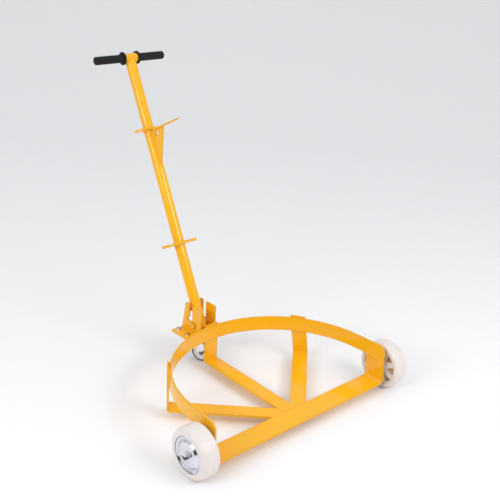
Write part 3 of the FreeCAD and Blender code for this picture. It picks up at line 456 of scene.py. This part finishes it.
ZINC_EDGE_WIDTH = 1.6 * MM
ZINC_GRAIN_DEPTH = 0.1 * MM
ZINC_BLUE = (0.80, 0.81, 0.86)
ZINC_PALE = (0.90, 0.89, 0.88)
# Dark zinc colour for grimy edges and for painted shade on the lower part of the axle studs and nuts
ZINC_GRIME_AND_SHADE = (0.05, 0.05, 0.055)
# Painted shade on the axle studs and nuts: the fade of its top and how far above the axle it reaches
LOWER_SHADE_FADE = 3 * MM
LOWER_SHADE_ABOVE_AXLE = 4 * MM

RUBBER_GRAIN_DEPTH = 0.3 * MM
PLASTIC_GRAIN_DEPTH = 0.2 * MM
PLASTIC_CLEAN = (0.84, 0.83, 0.87)
PLASTIC_SMUDGED = (0.62, 0.60, 0.62)


def shade(colour, factor):
    """Give a colour made lighter or darker."""
    return tuple(min(1, channel * factor) for channel in colour)


def paint_finish(settings, name="Yellow powder coat", peel=1.0, edge_thin_coat_and_shade=0.6):
    """Glossy powder coat with orange peel, thin patches, a little floor dust and darker edges, partly thin coat
    and partly painted shade on edges and narrow side faces.
    """
    finish = Finish(name, Coat_Weight=0.85, Coat_Roughness=0.09, IOR=1.5, Specular_IOR_Level=0.05)
    patches = finish.effect("Uneven patches", Scale=9, Level=0.55, Softness=0.3)
    edges = finish.effect("Edge mask", Width=PAINT_EDGE_WIDTH)
    dust = finish.effect("Floor dust", Height=PAINT_DUST_HEIGHT)
    colour = finish.mix(patches, settings.colour, settings.deep_colour, most=0.2)
    # Painted shade on edges and narrow side faces, partly thin coat over the edge
    colour = finish.mix(edges, colour, settings.thin_edge_and_shade_colour, most=edge_thin_coat_and_shade)
    finish.feed("Base Color", finish.mix(dust, colour, PAINT_DUST, most=0.1))
    gloss = finish.effect("Uneven patches", Scale=60, Level=0.5, Softness=0.3)
    finish.feed("Roughness", finish.between(gloss, low=0.34, high=0.48))
    grain = finish.effect("Surface grain", Scale=1 / settings.peel_size)
    finish.bump(grain, strength=0.12 * peel, depth=PAINT_PEEL_DEPTH)
    return finish.material


def nylon_finish(settings):
    """Creamy moulded nylon with faint smudges, floor dust and painted warm bounce light from the yellow frame
    inside the pockets.
    """
    finish = Finish("White nylon", Subsurface_Weight=0.25, Subsurface_Scale=NYLON_GLOW_SIZE, IOR=1.5)
    smudges = finish.effect("Uneven patches", Scale=28, Level=0.62, Softness=0.12)
    dust = finish.effect("Floor dust", Height=NYLON_DUST_HEIGHT)
    pockets = finish.effect("Pocket bounce light", Centre=joint_place("right_wheel_spin"), Radius=POCKET_RADIUS,
                            Face=node_reach("right_wheel", X)[0] + POCKET_LIP, Depth=POCKET_FADE,
                            Bottom=POCKET_BOTTOM)
    colour = finish.mix(smudges, settings.nylon_colour, shade(settings.nylon_colour, factor=0.72), most=0.35)
    colour = finish.mix(dust, colour, NYLON_DUST, most=0.15)
    # Painted reflected light: warm bounce from the yellow frame tints the nylon inside the pockets
    finish.feed("Base Color", finish.mix(pockets, colour, settings.pocket_bounce_colour))
    finish.feed("Roughness", finish.between(smudges, low=0.36, high=0.55))
    finish.bump(finish.effect("Surface grain", Scale=420), strength=0.08, depth=NYLON_GRAIN_DEPTH)
    return finish.material


def bright_finish(name, settings, centre):
    """Bright pressed sheet with faint rings round the axle, and dark lines of grime and painted shade in its rim
    gap and its groove.
    """
    finish = Finish(name, Metallic=1.0)
    rings = finish.effect("Turned rings", Centre=centre, Scale=160)
    haze = finish.effect("Uneven patches", Scale=40, Level=0.55, Softness=0.2)
    # Painted shade together with grime: dark rings in the gap at the cover's rim and in its groove
    rim = finish.effect("Grime and shade line", Centre=centre, Radius=COVER_RIM_RADIUS, Width=COVER_RIM_WIDTH)
    groove = finish.effect("Grime and shade line", Centre=centre, Radius=COVER_GROOVE_RADIUS,
                           Width=COVER_GROOVE_WIDTH)
    colour = finish.mix(haze, settings.cover_colour, shade(settings.cover_colour, factor=0.86))
    colour = finish.mix(rim, colour, COVER_RIM_GRIME_AND_SHADE, most=0.8)
    finish.feed("Base Color", finish.mix(groove, colour, COVER_GROOVE_GRIME_AND_SHADE, most=0.35))
    finish.feed("Roughness", finish.between(rings, low=0.08, high=0.2))
    finish.bump(rings, strength=0.05, depth=COVER_RING_DEPTH)
    return finish.material


def zinc_finish(name="Zinc plate", brightness=1.0, edge_grime=0.4, shade_height=None):
    """Cloudy bluish zinc plate with grimy edges and, where a height is given, painted shade below it."""
    finish = Finish(name, Metallic=1.0)
    clouds = finish.effect("Uneven patches", Scale=70, Level=0.5, Softness=0.22)
    edges = finish.effect("Edge mask", Width=ZINC_EDGE_WIDTH)
    colour = finish.mix(clouds, shade(ZINC_BLUE, brightness), shade(ZINC_PALE, brightness))
    colour = finish.mix(edges, colour, ZINC_GRIME_AND_SHADE, most=edge_grime)
    if shade_height is not None:
        # Painted shade: below the given height the zinc is darkened
        darkened_below = finish.effect("Painted lower shade", Height=shade_height, Fade=LOWER_SHADE_FADE, Cover=0.95)
        colour = finish.mix(darkened_below, colour, ZINC_GRIME_AND_SHADE)
    finish.feed("Base Color", colour)
    finish.feed("Roughness", finish.between(clouds, low=0.1, high=0.24))
    finish.bump(finish.effect("Surface grain", Scale=1500), strength=0.06, depth=ZINC_GRAIN_DEPTH)
    return finish.material


def rubber_finish(name, colour, grain):
    """Matt rubber with a fine grain and paler rubbed patches."""
    finish = Finish(name, IOR=1.5, Specular_IOR_Level=0.24)
    rubbed = finish.effect("Uneven patches", Scale=35, Level=0.58, Softness=0.15)
    finish.feed("Base Color", finish.mix(rubbed, colour, shade(colour, factor=2.2), most=0.6))
    finish.feed("Roughness", finish.between(rubbed, low=0.48, high=0.66))
    finish.bump(finish.effect("Surface grain", Scale=grain), strength=0.25, depth=RUBBER_GRAIN_DEPTH)
    return finish.material


def grey_plastic_finish():
    """Pale grey moulded plastic of the caster's wheel."""
    finish = Finish("Grey moulded plastic", IOR=1.48)
    smudges = finish.effect("Uneven patches", Scale=60, Level=0.6, Softness=0.15)
    finish.feed("Base Color", finish.mix(smudges, PLASTIC_CLEAN, PLASTIC_SMUDGED))
    finish.feed("Roughness", finish.between(smudges, low=0.34, high=0.5))
    finish.bump(finish.effect("Surface grain", Scale=700), strength=0.08, depth=PLASTIC_GRAIN_DEPTH)
    return finish.material


def floor_finish(colour):
    """Pale seamless studio floor."""
    finish = Finish("Studio floor", IOR=1.4)
    clouds = finish.effect("Uneven patches", Scale=1.5, Level=0.5, Softness=0.4)
    finish.feed("Base Color", finish.mix(clouds, colour, shade(colour, factor=0.985)))
    finish.feed("Roughness", finish.between(clouds, low=0.6, high=0.75))
    return finish.material


# Mesh building blocks

LATHE_STEPS = 72
CORNER_STEPS = 6
LEAST_LENGTH = 1e-9

# A weld bead's corners round its section, its steps along each ripple, its ripples and its thin open ends
BEAD_SIDES = 8
BEAD_STEPS = 3
RIPPLE_START = 0.7
RIPPLE_SHARE = 0.09
END_SHARE = 0.45

# A bead's slow waves, each with its share of the radius, its turn from step to step and its first turn
UNEVEN_SHARES = ((0.08, 0.37, 0.0), (0.05, 0.11, 1.3))

# A direction that no bead follows
OFF_ALL_BEADS = Vector((0.31, 0.47, 0.83))


def new_piece(name, points, faces, material):
    """Make a smooth mesh object from points in metres."""
    mesh = bpy.data.meshes.new(name)
    mesh.from_pydata([tuple(point) for point in points], [], faces)
    mesh.polygons.foreach_set("use_smooth", [True] * len(mesh.polygons))
    mesh.materials.append(material)
    mesh.update()
    piece = bpy.data.objects.new(name, mesh)
    bpy.context.scene.collection.objects.link(piece)
    return piece


def ring_faces(rows, columns, closed=False):
    """Faces between rings of points, with flat ends unless the last ring meets the first."""
    faces = []
    for row in range(rows if closed else rows - 1):
        start = row * columns
        after = (row + 1) % rows * columns
        for column in range(columns):
            beside = (column + 1) % columns
            faces.append((start + column, start + beside, after + beside, after + column))
    if not closed:
        faces.append(tuple(reversed(range(columns))))
        faces.append(tuple(range((rows - 1) * columns, rows * columns)))
    return faces


def circle(side, other, steps):
    """Directions round a circle that two directions span."""
    turns = [math.tau * step / steps for step in range(steps)]
    return [side * math.cos(turn) + other * math.sin(turn) for turn in turns]


def lathe(centre, axis, outline):
    """Turn an outline of (distance along, radius) pairs about an axis and give points and faces."""
    side = axis.orthogonal().normalized()
    ways = circle(side, axis.cross(side), LATHE_STEPS)
    points = [centre + axis * along + way * radius for along, radius in outline for way in ways]
    return points, ring_faces(len(outline), LATHE_STEPS)


def rounded_corner(along, radius, size, start, end):
    """Points of a rounded corner in an outline, turning from one angle to another."""
    turns = [start + (end - start) * step / CORNER_STEPS for step in range(CORNER_STEPS + 1)]
    return [(along + size * math.cos(turn), radius + size * math.sin(turn)) for turn in turns]


def spaced(path, gap, closed):
    """Points at even steps along a path."""
    corners = list(path) + ([path[0]] if closed else [])
    lengths = [(b - a).length for a, b in zip(corners, corners[1:])]
    count = max(2, round(sum(lengths) / gap))
    points = []
    for step in range(count if closed else count + 1):
        rest = sum(lengths) * step / count
        index = 0
        while index < len(lengths) - 1 and rest > lengths[index]:
            rest -= lengths[index]
            index += 1
        share = min(1, rest / max(lengths[index], LEAST_LENGTH))
        points.append(corners[index].lerp(corners[index + 1], share))
    return points


def bead(path, settings, closed=False, size=1.0, flat=1.0, facing=UPWARD):
    """A rippled weld bead along a path, as points and faces; a ground one is flattened along its facing."""
    points = []
    track = spaced([Vector(place) for place in path], settings.ripple / BEAD_STEPS, closed)
    count = len(track)
    for index, spot in enumerate(track):
        before = track[index - 1] if index or closed else spot
        after = track[(index + 1) % count] if index < count - 1 or closed else spot
        along = (after - before).normalized()
        side = along.cross(OFF_ALL_BEADS).normalized()
        ripple = 1 + RIPPLE_SHARE * math.sin(math.tau * index / BEAD_STEPS + RIPPLE_START)
        uneven = 1 + sum(share * math.sin(index * pace + start) for share, pace, start in UNEVEN_SHARES)
        end = END_SHARE if not closed and index in (0, count - 1) else 1.0
        radius = settings.bead_radius * size * end * uneven * ripple
        for way in circle(side, along.cross(side), BEAD_SIDES):
            offset = way * radius
            points.append(spot + offset - facing * offset.dot(facing) * (1 - flat))
    return points, ring_faces(count, BEAD_SIDES, closed)


def joined(parts):
    """Join several sets of points and faces into one."""
    points = []
    faces = []
    for some_points, some_faces in parts:
        start = len(points)
        points.extend(some_points)
        faces.extend(tuple(start + index for index in face) for face in some_faces)
    return points, faces


def dress(material, *nodes):
    """Give nodes of the frame a finish in place of their plain one."""
    for name in nodes:
        slots = frame["nodes"][name].data.materials
        slots.clear()
        slots.append(material)


def settings_of(name):
    """The scene's settings with this name."""
    return getattr(bpy.context.scene, name)


# Steelwork, fasteners and wheels


class TROLLEY_OT_paint_steelwork(bpy.types.Operator):
    """Powder coat the frame, the bracket and the handle"""

    bl_idname = "trolley.paint_steelwork"
    bl_label = "Paint steelwork"

    def execute(self, context):
        dress(paint_finish(settings_of("trolley_paint")),
              "ring_band", "front_bar", "middle_strap", "left_strap", "right_strap", "rear_plate",
              "left_ear", "right_ear", "handle_rest", "pivot_bolt", "pivot_nut", "pivot_washers",
              "handle_tube", "grip_hub", "hook_collar", "rest_collar", "hook_gusset", "hook_horn")
        return {"FINISHED"}


class TROLLEY_OT_plate_fasteners(bpy.types.Operator):
    """Zinc plate the bolts, nuts, washers, pins and spacers"""

    bl_idname = "trolley.plate_fasteners"
    bl_label = "Plate fasteners"

    def execute(self, context):
        dress(zinc_finish(),
              "pivot_sleeve", "caster_plate", "kingpin", "kingpin_nut", "caster_fork", "swivel_balls",
              "caster_sleeve", "caster_bush", "grip_bar", "left_axle_spacer", "right_axle_spacer",
              "left_axle_washer", "right_axle_washer", "left_wheel_bush", "right_wheel_bush")
        # Axle studs and nuts: painted shade darkens their lower part below a height just above the axle, leaving a
        # light top
        shade_height = joint_place("left_wheel_spin").z + LOWER_SHADE_ABOVE_AXLE
        bottom_shaded_zinc = zinc_finish("Zinc plate with painted lower shade", brightness=1.1, edge_grime=0.1,
                              shade_height=shade_height)
        dress(bottom_shaded_zinc, "left_axle_stud", "right_axle_stud", "left_axle_nut", "right_axle_nut")
        dull = zinc_finish("Dull zinc plate", brightness=0.6, edge_grime=0.15)
        dress(dull, "caster_bolts", "caster_nuts")
        # Painted shade: the caster's axle bolt and nut are darkened to nearly black so they show as a dark spot,
        # not a bright reflection
        shade_dark_zinc = zinc_finish("Shade-darkened zinc plate", brightness=0.2)
        dress(shade_dark_zinc, "caster_axle_bolt", "caster_axle_nut")
        return {"FINISHED"}


class TROLLEY_OT_finish_wheels(bpy.types.Operator):
    """Finish the front wheels, their covers and the caster's wheel"""

    bl_idname = "trolley.finish_wheels"
    bl_label = "Finish wheels"

    def execute(self, context):
        settings = settings_of("trolley_wheels")
        dress(nylon_finish(settings), "left_wheel", "right_wheel")
        for side in ("left", "right"):
            cover = bright_finish(f"Bright {side} cover", settings, joint_place(f"{side}_wheel_spin"))
            dress(cover, f"{side}_hub_cover")
        dress(grey_plastic_finish(), "caster_wheel")
        dress(rubber_finish("Caster rubber", settings.tyre_colour, grain=900), "caster_tyre")
        return {"FINISHED"}


# Rubber grips

GRIP_FLANGE_THICK = 5.2 * MM
GRIP_FLANGE_EDGE = 1.6 * MM
GRIP_BODY_RADIUS = 11.9 * MM
GRIP_NECK_FILLET = 1.8 * MM
GRIP_TIP_ROUND = 3.5 * MM
GRIP_FACE_SHARE = 0.8
FIRST_RING_IN = 14 * MM
LAST_RING_IN = 8 * MM

# Section of a shallow ring, in shares of the gap between rings and of the rings' depth
RING_SHARES = ((-0.14, 0), (-0.07, 0.8), (0, 1), (0.07, 0.8), (0.14, 0))


class TROLLEY_OT_mould_grips(bpy.types.Operator):
    """Mould the flanged rubber grips"""

    bl_idname = "trolley.mould_grips"
    bl_label = "Mould grips"

    def execute(self, context):
        settings = settings_of("trolley_grips")
        rubber = rubber_finish("Grip rubber", settings.colour, grain=800)
        centre = Vector((0, GRIP_MIDDLE.y, GRIP_MIDDLE.z))
        for side, way in (("left", -1), ("right", 1)):
            node = f"{side}_grip"
            start, end = sorted(way * reach for reach in node_reach(node, X))
            front, rear = node_reach(node, Y)
            outline = self.outline(settings, start, end, flange=(rear - front) / 2)
            points, faces = lathe(centre, ACROSS * way, outline)
            piece = new_piece(f"{side}_rubber_grip", points, faces, rubber)
            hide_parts(node)
            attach(piece, "handle")
        return {"FINISHED"}

    @staticmethod
    def outline(settings, start, end, flange):
        """Outline of a grip: flange, necked body with shallow rings and a rounded end."""
        quarter = math.pi / 2
        body = GRIP_BODY_RADIUS
        edge = GRIP_FLANGE_EDGE
        flange_end = start + GRIP_FLANGE_THICK
        outline = [(start, body * GRIP_FACE_SHARE)]
        outline += rounded_corner(start + edge, flange - edge, edge, 2 * quarter, quarter)
        outline += rounded_corner(flange_end - edge, flange - edge, edge, quarter, 0)
        outline += rounded_corner(flange_end + GRIP_NECK_FILLET, body + GRIP_NECK_FILLET, GRIP_NECK_FILLET,
                                  2 * quarter, 3 * quarter)
        first = start + FIRST_RING_IN
        gap = (end - LAST_RING_IN - first) / max(1, settings.ring_count - 1)
        for ring in range(settings.ring_count):
            for along_share, depth_share in RING_SHARES:
                along = first + gap * (ring + along_share)
                outline.append((along, body - settings.ring_depth * depth_share))
        outline += rounded_corner(end - GRIP_TIP_ROUND, body - GRIP_TIP_ROUND, GRIP_TIP_ROUND, quarter, 0)
        return outline


# Weld beads

# How far a bead stops short of a plate's corner and of an upright's edges, and lies below the ring
PLATE_INSET = 6 * MM
UPRIGHT_INSET = 2 * MM
UPRIGHT_DROP = 1 * MM

# How far from an edge the surface beside it is felt, and from how far aside a strap's upright end is
RING_FEEL = 3 * MM
ROOT_FEEL = 0.5 * MM
MAST_ASIDE = 200 * MM

# What still counts as a strap's top
TOP_PLAY = 0.05 * MM

TUBE_STEPS = 48
SADDLE_SHARE = 0.9


class TROLLEY_OT_lay_welds(bpy.types.Operator):
    """Lay weld beads along the joints of the frame and the handle"""

    bl_idname = "trolley.lay_welds"
    bl_label = "Lay welds"

    def execute(self, context):
        settings = settings_of("trolley_welds")
        coat = settings_of("trolley_paint")
        # Welds take only a little of the painted edge shade
        paint = paint_finish(coat, "Yellow powder coat on welds", peel=2.0, edge_thin_coat_and_shade=0.1)
        for name, body, parts in (("frame_welds", "frame", self.frame_beads(settings)),
                                  ("handle_welds", "handle", self.handle_beads(settings))):
            points, faces = joined(parts)
            piece = new_piece(name, points, faces, paint)
            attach(piece, body)
        return {"FINISHED"}

    def frame_beads(self, settings):
        """Beads between the ring, the flat bars, the rear plate and the ears."""
        parts = []
        for side in (-1, 1):
            parts += self.upright_beads(settings, side)
            parts += self.slanted_mast_beads(settings, side)
        parts += self.middle_mast_beads(settings)
        parts += self.ear_beads(settings)
        return parts + self.root_beads(settings)

    @staticmethod
    def upright_beads(settings, side):
        """Beads under one end of the ring, inside and outside the upright that carries it."""
        below = RING_LOW - RING_FEEL
        above = RING_LOW + RING_FEEL
        middle = side * (node_reach("front_bar", X)[1] - BAR_THICK / 2)
        front = touch("front_bar", (middle, -OUTSIDE, below), (0, 1, 0)).y
        rear = touch("front_bar", (middle, OUTSIDE, below), (0, -1, 0)).y
        ends = (front + UPRIGHT_INSET, rear - UPRIGHT_INSET)
        inner = []
        outer = []
        for y in ends:
            faces = [touch(node, (0, y, height), (side, 0, 0)).x
                     for node, height in (("ring_band", above), ("front_bar", below))]
            inner.append(min(faces, key=abs))
            outer.append(touch("ring_band", (side * OUTSIDE, y, above), (-side, 0, 0)).x)
        parts = []
        for reach in (inner, outer):
            path = [(x, y, RING_LOW - UPRIGHT_DROP) for x, y in zip(reach, ends)]
            parts.append(bead(path, settings, size=1.6, flat=0.55, facing=ACROSS))
        return parts

    @staticmethod
    def slanted_mast_beads(settings, side):
        """Beads up both edges of a slanted strap where it stands against the ring."""
        node = "right_strap" if side > 0 else "left_strap"
        points = node_points(node)
        highest = max(point.z for point in points)
        top = [point - RING_CENTRE for point in points if point.z > highest - TOP_PLAY]
        outward = Vector((sum(point.x for point in top), sum(point.y for point in top), 0)).normalized()
        across = Vector((-outward.y, outward.x, 0))
        inner = min((point - RING_CENTRE).dot(outward) for point in points if point.z > RING_LOW)
        parts = []
        for edge in (-1, 1):
            path = []
            for height in (RING_LOW, RING_TOP):
                start = RING_CENTRE + outward * (inner + BAR_THICK / 2) + across * (edge * MAST_ASIDE)
                spot = touch(node, (start.x, start.y, height), across * -edge)
                path.append(spot - outward * (BAR_THICK / 2))
            parts.append(bead(path, settings))
        return parts

    @staticmethod
    def middle_mast_beads(settings):
        """Beads where the middle strap stands against the ring and carries the rear plate."""
        left, right = node_reach("middle_strap", X)
        mast = node_reach("middle_strap", Y)[1] - BAR_THICK
        plate_front = node_reach("rear_plate", Y)[0]
        paths = [[(left + PLATE_INSET, mast, RING_LOW), (right - PLATE_INSET, mast, RING_LOW)]]
        paths += [[(x, mast, RING_LOW), (x, mast, RING_TOP)] for x in (left, right)]
        paths += [[(left, plate_front, z), (right, plate_front, z)] for z in node_reach("rear_plate", Z)]
        return [bead(path, settings) for path in paths]

    @staticmethod
    def ear_beads(settings):
        """Beads along the outer foot and the front foot of each ear, on the rear plate."""
        plate_top = node_reach("rear_plate", Z)[1]
        parts = []
        for node, outer in (("left_ear", 0), ("right_ear", 1)):
            sides = node_reach(node, X)
            front, rear = node_reach(node, Y)
            foot = [(sides[outer], y, plate_top) for y in (front + PLATE_INSET, rear - PLATE_INSET)]
            toe = [(x, front, plate_top) for x in sides]
            parts += [bead(foot, settings), bead(toe, settings)]
        return parts

    @staticmethod
    def root_beads(settings):
        """Welds ground nearly flush where the three straps meet the front bar and each other."""
        front = node_reach("middle_strap", Y)[0]
        half = node_reach("middle_strap", X)[1]
        inside = STRAP_TOP - BAR_THICK / 2
        parts = []
        for side in (-1, 1):
            node = "right_strap" if side > 0 else "left_strap"
            end = touch(node, (side * OUTSIDE, front + ROOT_FEEL, inside), (-side, 0, 0)).x
            split = touch(node, (side * (half + ROOT_FEEL), OUTSIDE, inside), (0, -1, 0)).y
            along_bar = [(0, front, STRAP_TOP), (end, front, STRAP_TOP)]
            along_strap = [(side * half, front, STRAP_TOP), (side * half, split, STRAP_TOP)]
            parts.append(bead(along_bar, settings, size=1.3, flat=0.16))
            parts.append(bead(along_strap, settings, size=1.1, flat=0.16))
        return parts

    @staticmethod
    def handle_beads(settings):
        """Beads round the handle tube at its collars, its gusset and its hub."""
        parts = []
        tube = node_reach("handle_tube", X)[1]
        turns = [math.tau * step / TUBE_STEPS for step in range(TUBE_STEPS)]
        for node in ("hook_collar", "rest_collar"):
            for along in along_handle(node):
                ring = [on_handle(tube * math.cos(turn), tube * math.sin(turn), along) for turn in turns]
                parts.append(bead(ring, settings, closed=True, size=0.8))
        for x in node_reach("hook_gusset", X):
            path = [on_handle(x, -tube, along) for along in along_handle("hook_gusset")]
            parts.append(bead(path, settings, size=0.8))
        hub_low, hub_high = node_reach("grip_hub", Z)
        hub_radius = (hub_high - hub_low) / 2
        saddle = []
        for turn in turns:
            behind = tube * math.sin(turn)
            drop = math.sqrt(max(hub_radius ** 2 - behind ** 2, (hub_radius / 2) ** 2))
            saddle.append(on_handle(tube * math.cos(turn), behind * SADDLE_SHARE, GRIP_REACH - drop))
        parts.append(bead(saddle, settings, closed=True, size=0.9))
        return parts


# Stage, in metres

# A paper sweep that lies on a wide floor and curves up behind the trolley
SWEEP_AWAY = Vector((0.68, 0.73, 0)).normalized()
SWEEP_HALF = 9.0
SWEEP_FLAT = 2.5
SWEEP_BEND = 2.5
SWEEP_BEND_STEPS = 16
SWEEP_HIGH = 8.0
SWEEP_DROP = 0.5 * MM
FLOOR_HALF = 60.0
FLOOR_DROP = 1 * MM

# Two soft boxes, each with its place and the spot that it faces
SOFT_BOXES = (("left_box", (-2.37, -0.37, 1.44), (0, 0.33, 0.68)),
              ("front_box", (0.47, -2.04, 1.64), (0, 0.2, 0.42)))
SOFT_BOX_WIDE = 1.2
SOFT_BOX_HIGH = 0.6

# The pale surround, with its heights as the sine of the angle above the floor
SURROUND_TINT = (0.97, 0.98, 1.0, 1)
SURROUND_FULL_HEIGHT = 0.8
HAZE_FULL_HEIGHT = 0.02
HAZE_END_HEIGHT = 0.06
HAZE_STRENGTH = 0.28

# The surround's dark patch on the left, with its limits as the cosine of the angle from its middle
DARK_WAY = Vector((-0.9, -0.42, 0.1)).normalized()
DARK_START = 0.9
DARK_FULL = 0.97
DARK_SHARE = 0.04

SENSOR_WIDE = 36


class TROLLEY_OT_set_stage(bpy.types.Operator):
    """Set the floor, the lights and the camera"""

    bl_idname = "trolley.set_stage"
    bl_label = "Set stage"

    def execute(self, context):
        settings = settings_of("trolley_stage")
        self.sweep(settings)
        self.soft_boxes(settings)
        self.surround(settings)
        self.camera(settings)
        context.scene.view_settings.view_transform = "Standard"
        return {"FINISHED"}

    @staticmethod
    def sweep(settings):
        """Pale floor that curves up into a backdrop far behind the trolley, on a wide flat floor."""
        outline = [(-SWEEP_HALF, 0.0), (SWEEP_FLAT, 0.0)]
        for step in range(1, SWEEP_BEND_STEPS + 1):
            turn = math.pi / 2 * step / SWEEP_BEND_STEPS
            outline.append((SWEEP_FLAT + SWEEP_BEND * math.sin(turn), SWEEP_BEND * (1 - math.cos(turn))))
        outline.append((SWEEP_FLAT + SWEEP_BEND, SWEEP_HIGH))
        across = SWEEP_AWAY.cross(UPWARD)
        points = [SWEEP_AWAY * out + across * side + UPWARD * (height - SWEEP_DROP)
                  for side in (-SWEEP_HALF, SWEEP_HALF) for out, height in outline]
        count = len(outline)
        faces = [(i, i + 1, count + i + 1, count + i) for i in range(count - 1)]
        corners = [(FLOOR_HALF * x, FLOOR_HALF * y, -FLOOR_DROP)
                   for x, y in ((-1, -1), (1, -1), (1, 1), (-1, 1))]
        paper = floor_finish(settings.floor_colour)
        new_piece("studio_sweep", points, faces, paper)
        new_piece("studio_floor", corners, [(0, 1, 2, 3)], paper)

    @staticmethod
    def soft_boxes(settings):
        """Two soft boxes, one at the left and one in front."""
        for name, place, target in SOFT_BOXES:
            light = bpy.data.lights.new(name, "AREA")
            light.energy = settings.box_power
            light.shape = "RECTANGLE"
            light.size = SOFT_BOX_WIDE
            light.size_y = SOFT_BOX_HIGH
            lamp = bpy.data.objects.new(name, light)
            lamp.location = place
            lamp.rotation_euler = (Vector(target) - Vector(place)).to_track_quat("-Z", "Y").to_euler()
            bpy.context.scene.collection.objects.link(lamp)

    @staticmethod
    def surround(settings):
        """Pale surround, brighter overhead, dark far left and hazy along the horizon."""
        world = bpy.data.worlds.new("Pale surround")
        world.use_nodes = True
        tree = world.node_tree
        backdrop = tree.nodes["Background"]
        backdrop.inputs["Color"].default_value = SURROUND_TINT
        way = add(tree, "ShaderNodeTexCoord").outputs["Generated"]
        height = height_of(tree, way)
        sky = remap(tree, height, high=SURROUND_FULL_HEIGHT,
                    new_low=settings.horizon, new_high=settings.overhead)
        leftward = measure(tree, "DOT_PRODUCT", way, DARK_WAY)
        dark = remap(tree, leftward, low=DARK_START, high=DARK_FULL, new_low=1, new_high=DARK_SHARE)
        haze = remap(tree, height, low=HAZE_FULL_HEIGHT, high=HAZE_END_HEIGHT,
                     new_low=HAZE_STRENGTH, new_high=0)
        strength = calculate(tree, "ADD", calculate(tree, "MULTIPLY", sky, dark), haze)
        tree.links.new(strength, backdrop.inputs["Strength"])
        bpy.context.scene.world = world

    @staticmethod
    def camera(settings):
        """Camera at the photograph's place and angle."""
        azimuth, elevation, roll = settings.camera_turn
        level = math.cos(elevation)
        back = Vector((math.sin(azimuth) * level, -math.cos(azimuth) * level, math.sin(elevation)))
        right = Vector((math.cos(azimuth), math.sin(azimuth), 0))
        up = back.cross(right)
        rolled_right = right * math.cos(roll) + up * math.sin(roll)
        rolled_up = up * math.cos(roll) - right * math.sin(roll)
        lens = bpy.data.cameras.new("photo_camera")
        lens.lens = settings.lens
        lens.sensor_width = SENSOR_WIDE
        camera = bpy.data.objects.new("photo_camera", lens)
        turn = Matrix((rolled_right, rolled_up, back)).transposed().to_4x4()
        place = Vector(settings.camera_place) + Vector((RING_CENTRE.x, RING_CENTRE.y, 0))
        camera.matrix_world = Matrix.Translation(place) @ turn
        bpy.context.scene.collection.objects.link(camera)
        bpy.context.scene.camera = camera


# Panel, registration and the run


class TROLLEY_PT_panel(bpy.types.Panel):
    """Settings and steps of the drum trolley"""

    bl_idname = "TROLLEY_PT_panel"
    bl_label = "Drum trolley"
    bl_space_type = "VIEW_3D"
    bl_region_type = "UI"
    bl_category = "Drum trolley"

    def draw(self, context):
        for name, group in SETTINGS.items():
            box = self.layout.box()
            for key in group.__annotations__:
                box.prop(getattr(context.scene, name), key)
        for operator in OPERATORS:
            self.layout.operator(operator.bl_idname)


SETTINGS = {
    "trolley_paint": TrolleyPaint,
    "trolley_wheels": TrolleyWheels,
    "trolley_welds": TrolleyWelds,
    "trolley_grips": TrolleyGrips,
    "trolley_stage": TrolleyStage,
}
OPERATORS = (
    TROLLEY_OT_paint_steelwork,
    TROLLEY_OT_plate_fasteners,
    TROLLEY_OT_finish_wheels,
    TROLLEY_OT_mould_grips,
    TROLLEY_OT_lay_welds,
    TROLLEY_OT_set_stage,
)


def register():
    for group in SETTINGS.values():
        bpy.utils.register_class(group)
    for name, group in SETTINGS.items():
        setattr(bpy.types.Scene, name, PointerProperty(type=group))
    for operator in OPERATORS:
        bpy.utils.register_class(operator)
    bpy.utils.register_class(TROLLEY_PT_panel)


def unregister():
    bpy.utils.unregister_class(TROLLEY_PT_panel)
    for operator in reversed(OPERATORS):
        bpy.utils.unregister_class(operator)
    for name in SETTINGS:
        delattr(bpy.types.Scene, name)
    for group in reversed(SETTINGS.values()):
        bpy.utils.unregister_class(group)


def main():
    register()
    bpy.ops.trolley.paint_steelwork()
    bpy.ops.trolley.plate_fasteners()
    bpy.ops.trolley.finish_wheels()
    bpy.ops.trolley.mould_grips()
    bpy.ops.trolley.lay_welds()
    bpy.ops.trolley.set_stage()


if __name__ == "__main__":
    main()
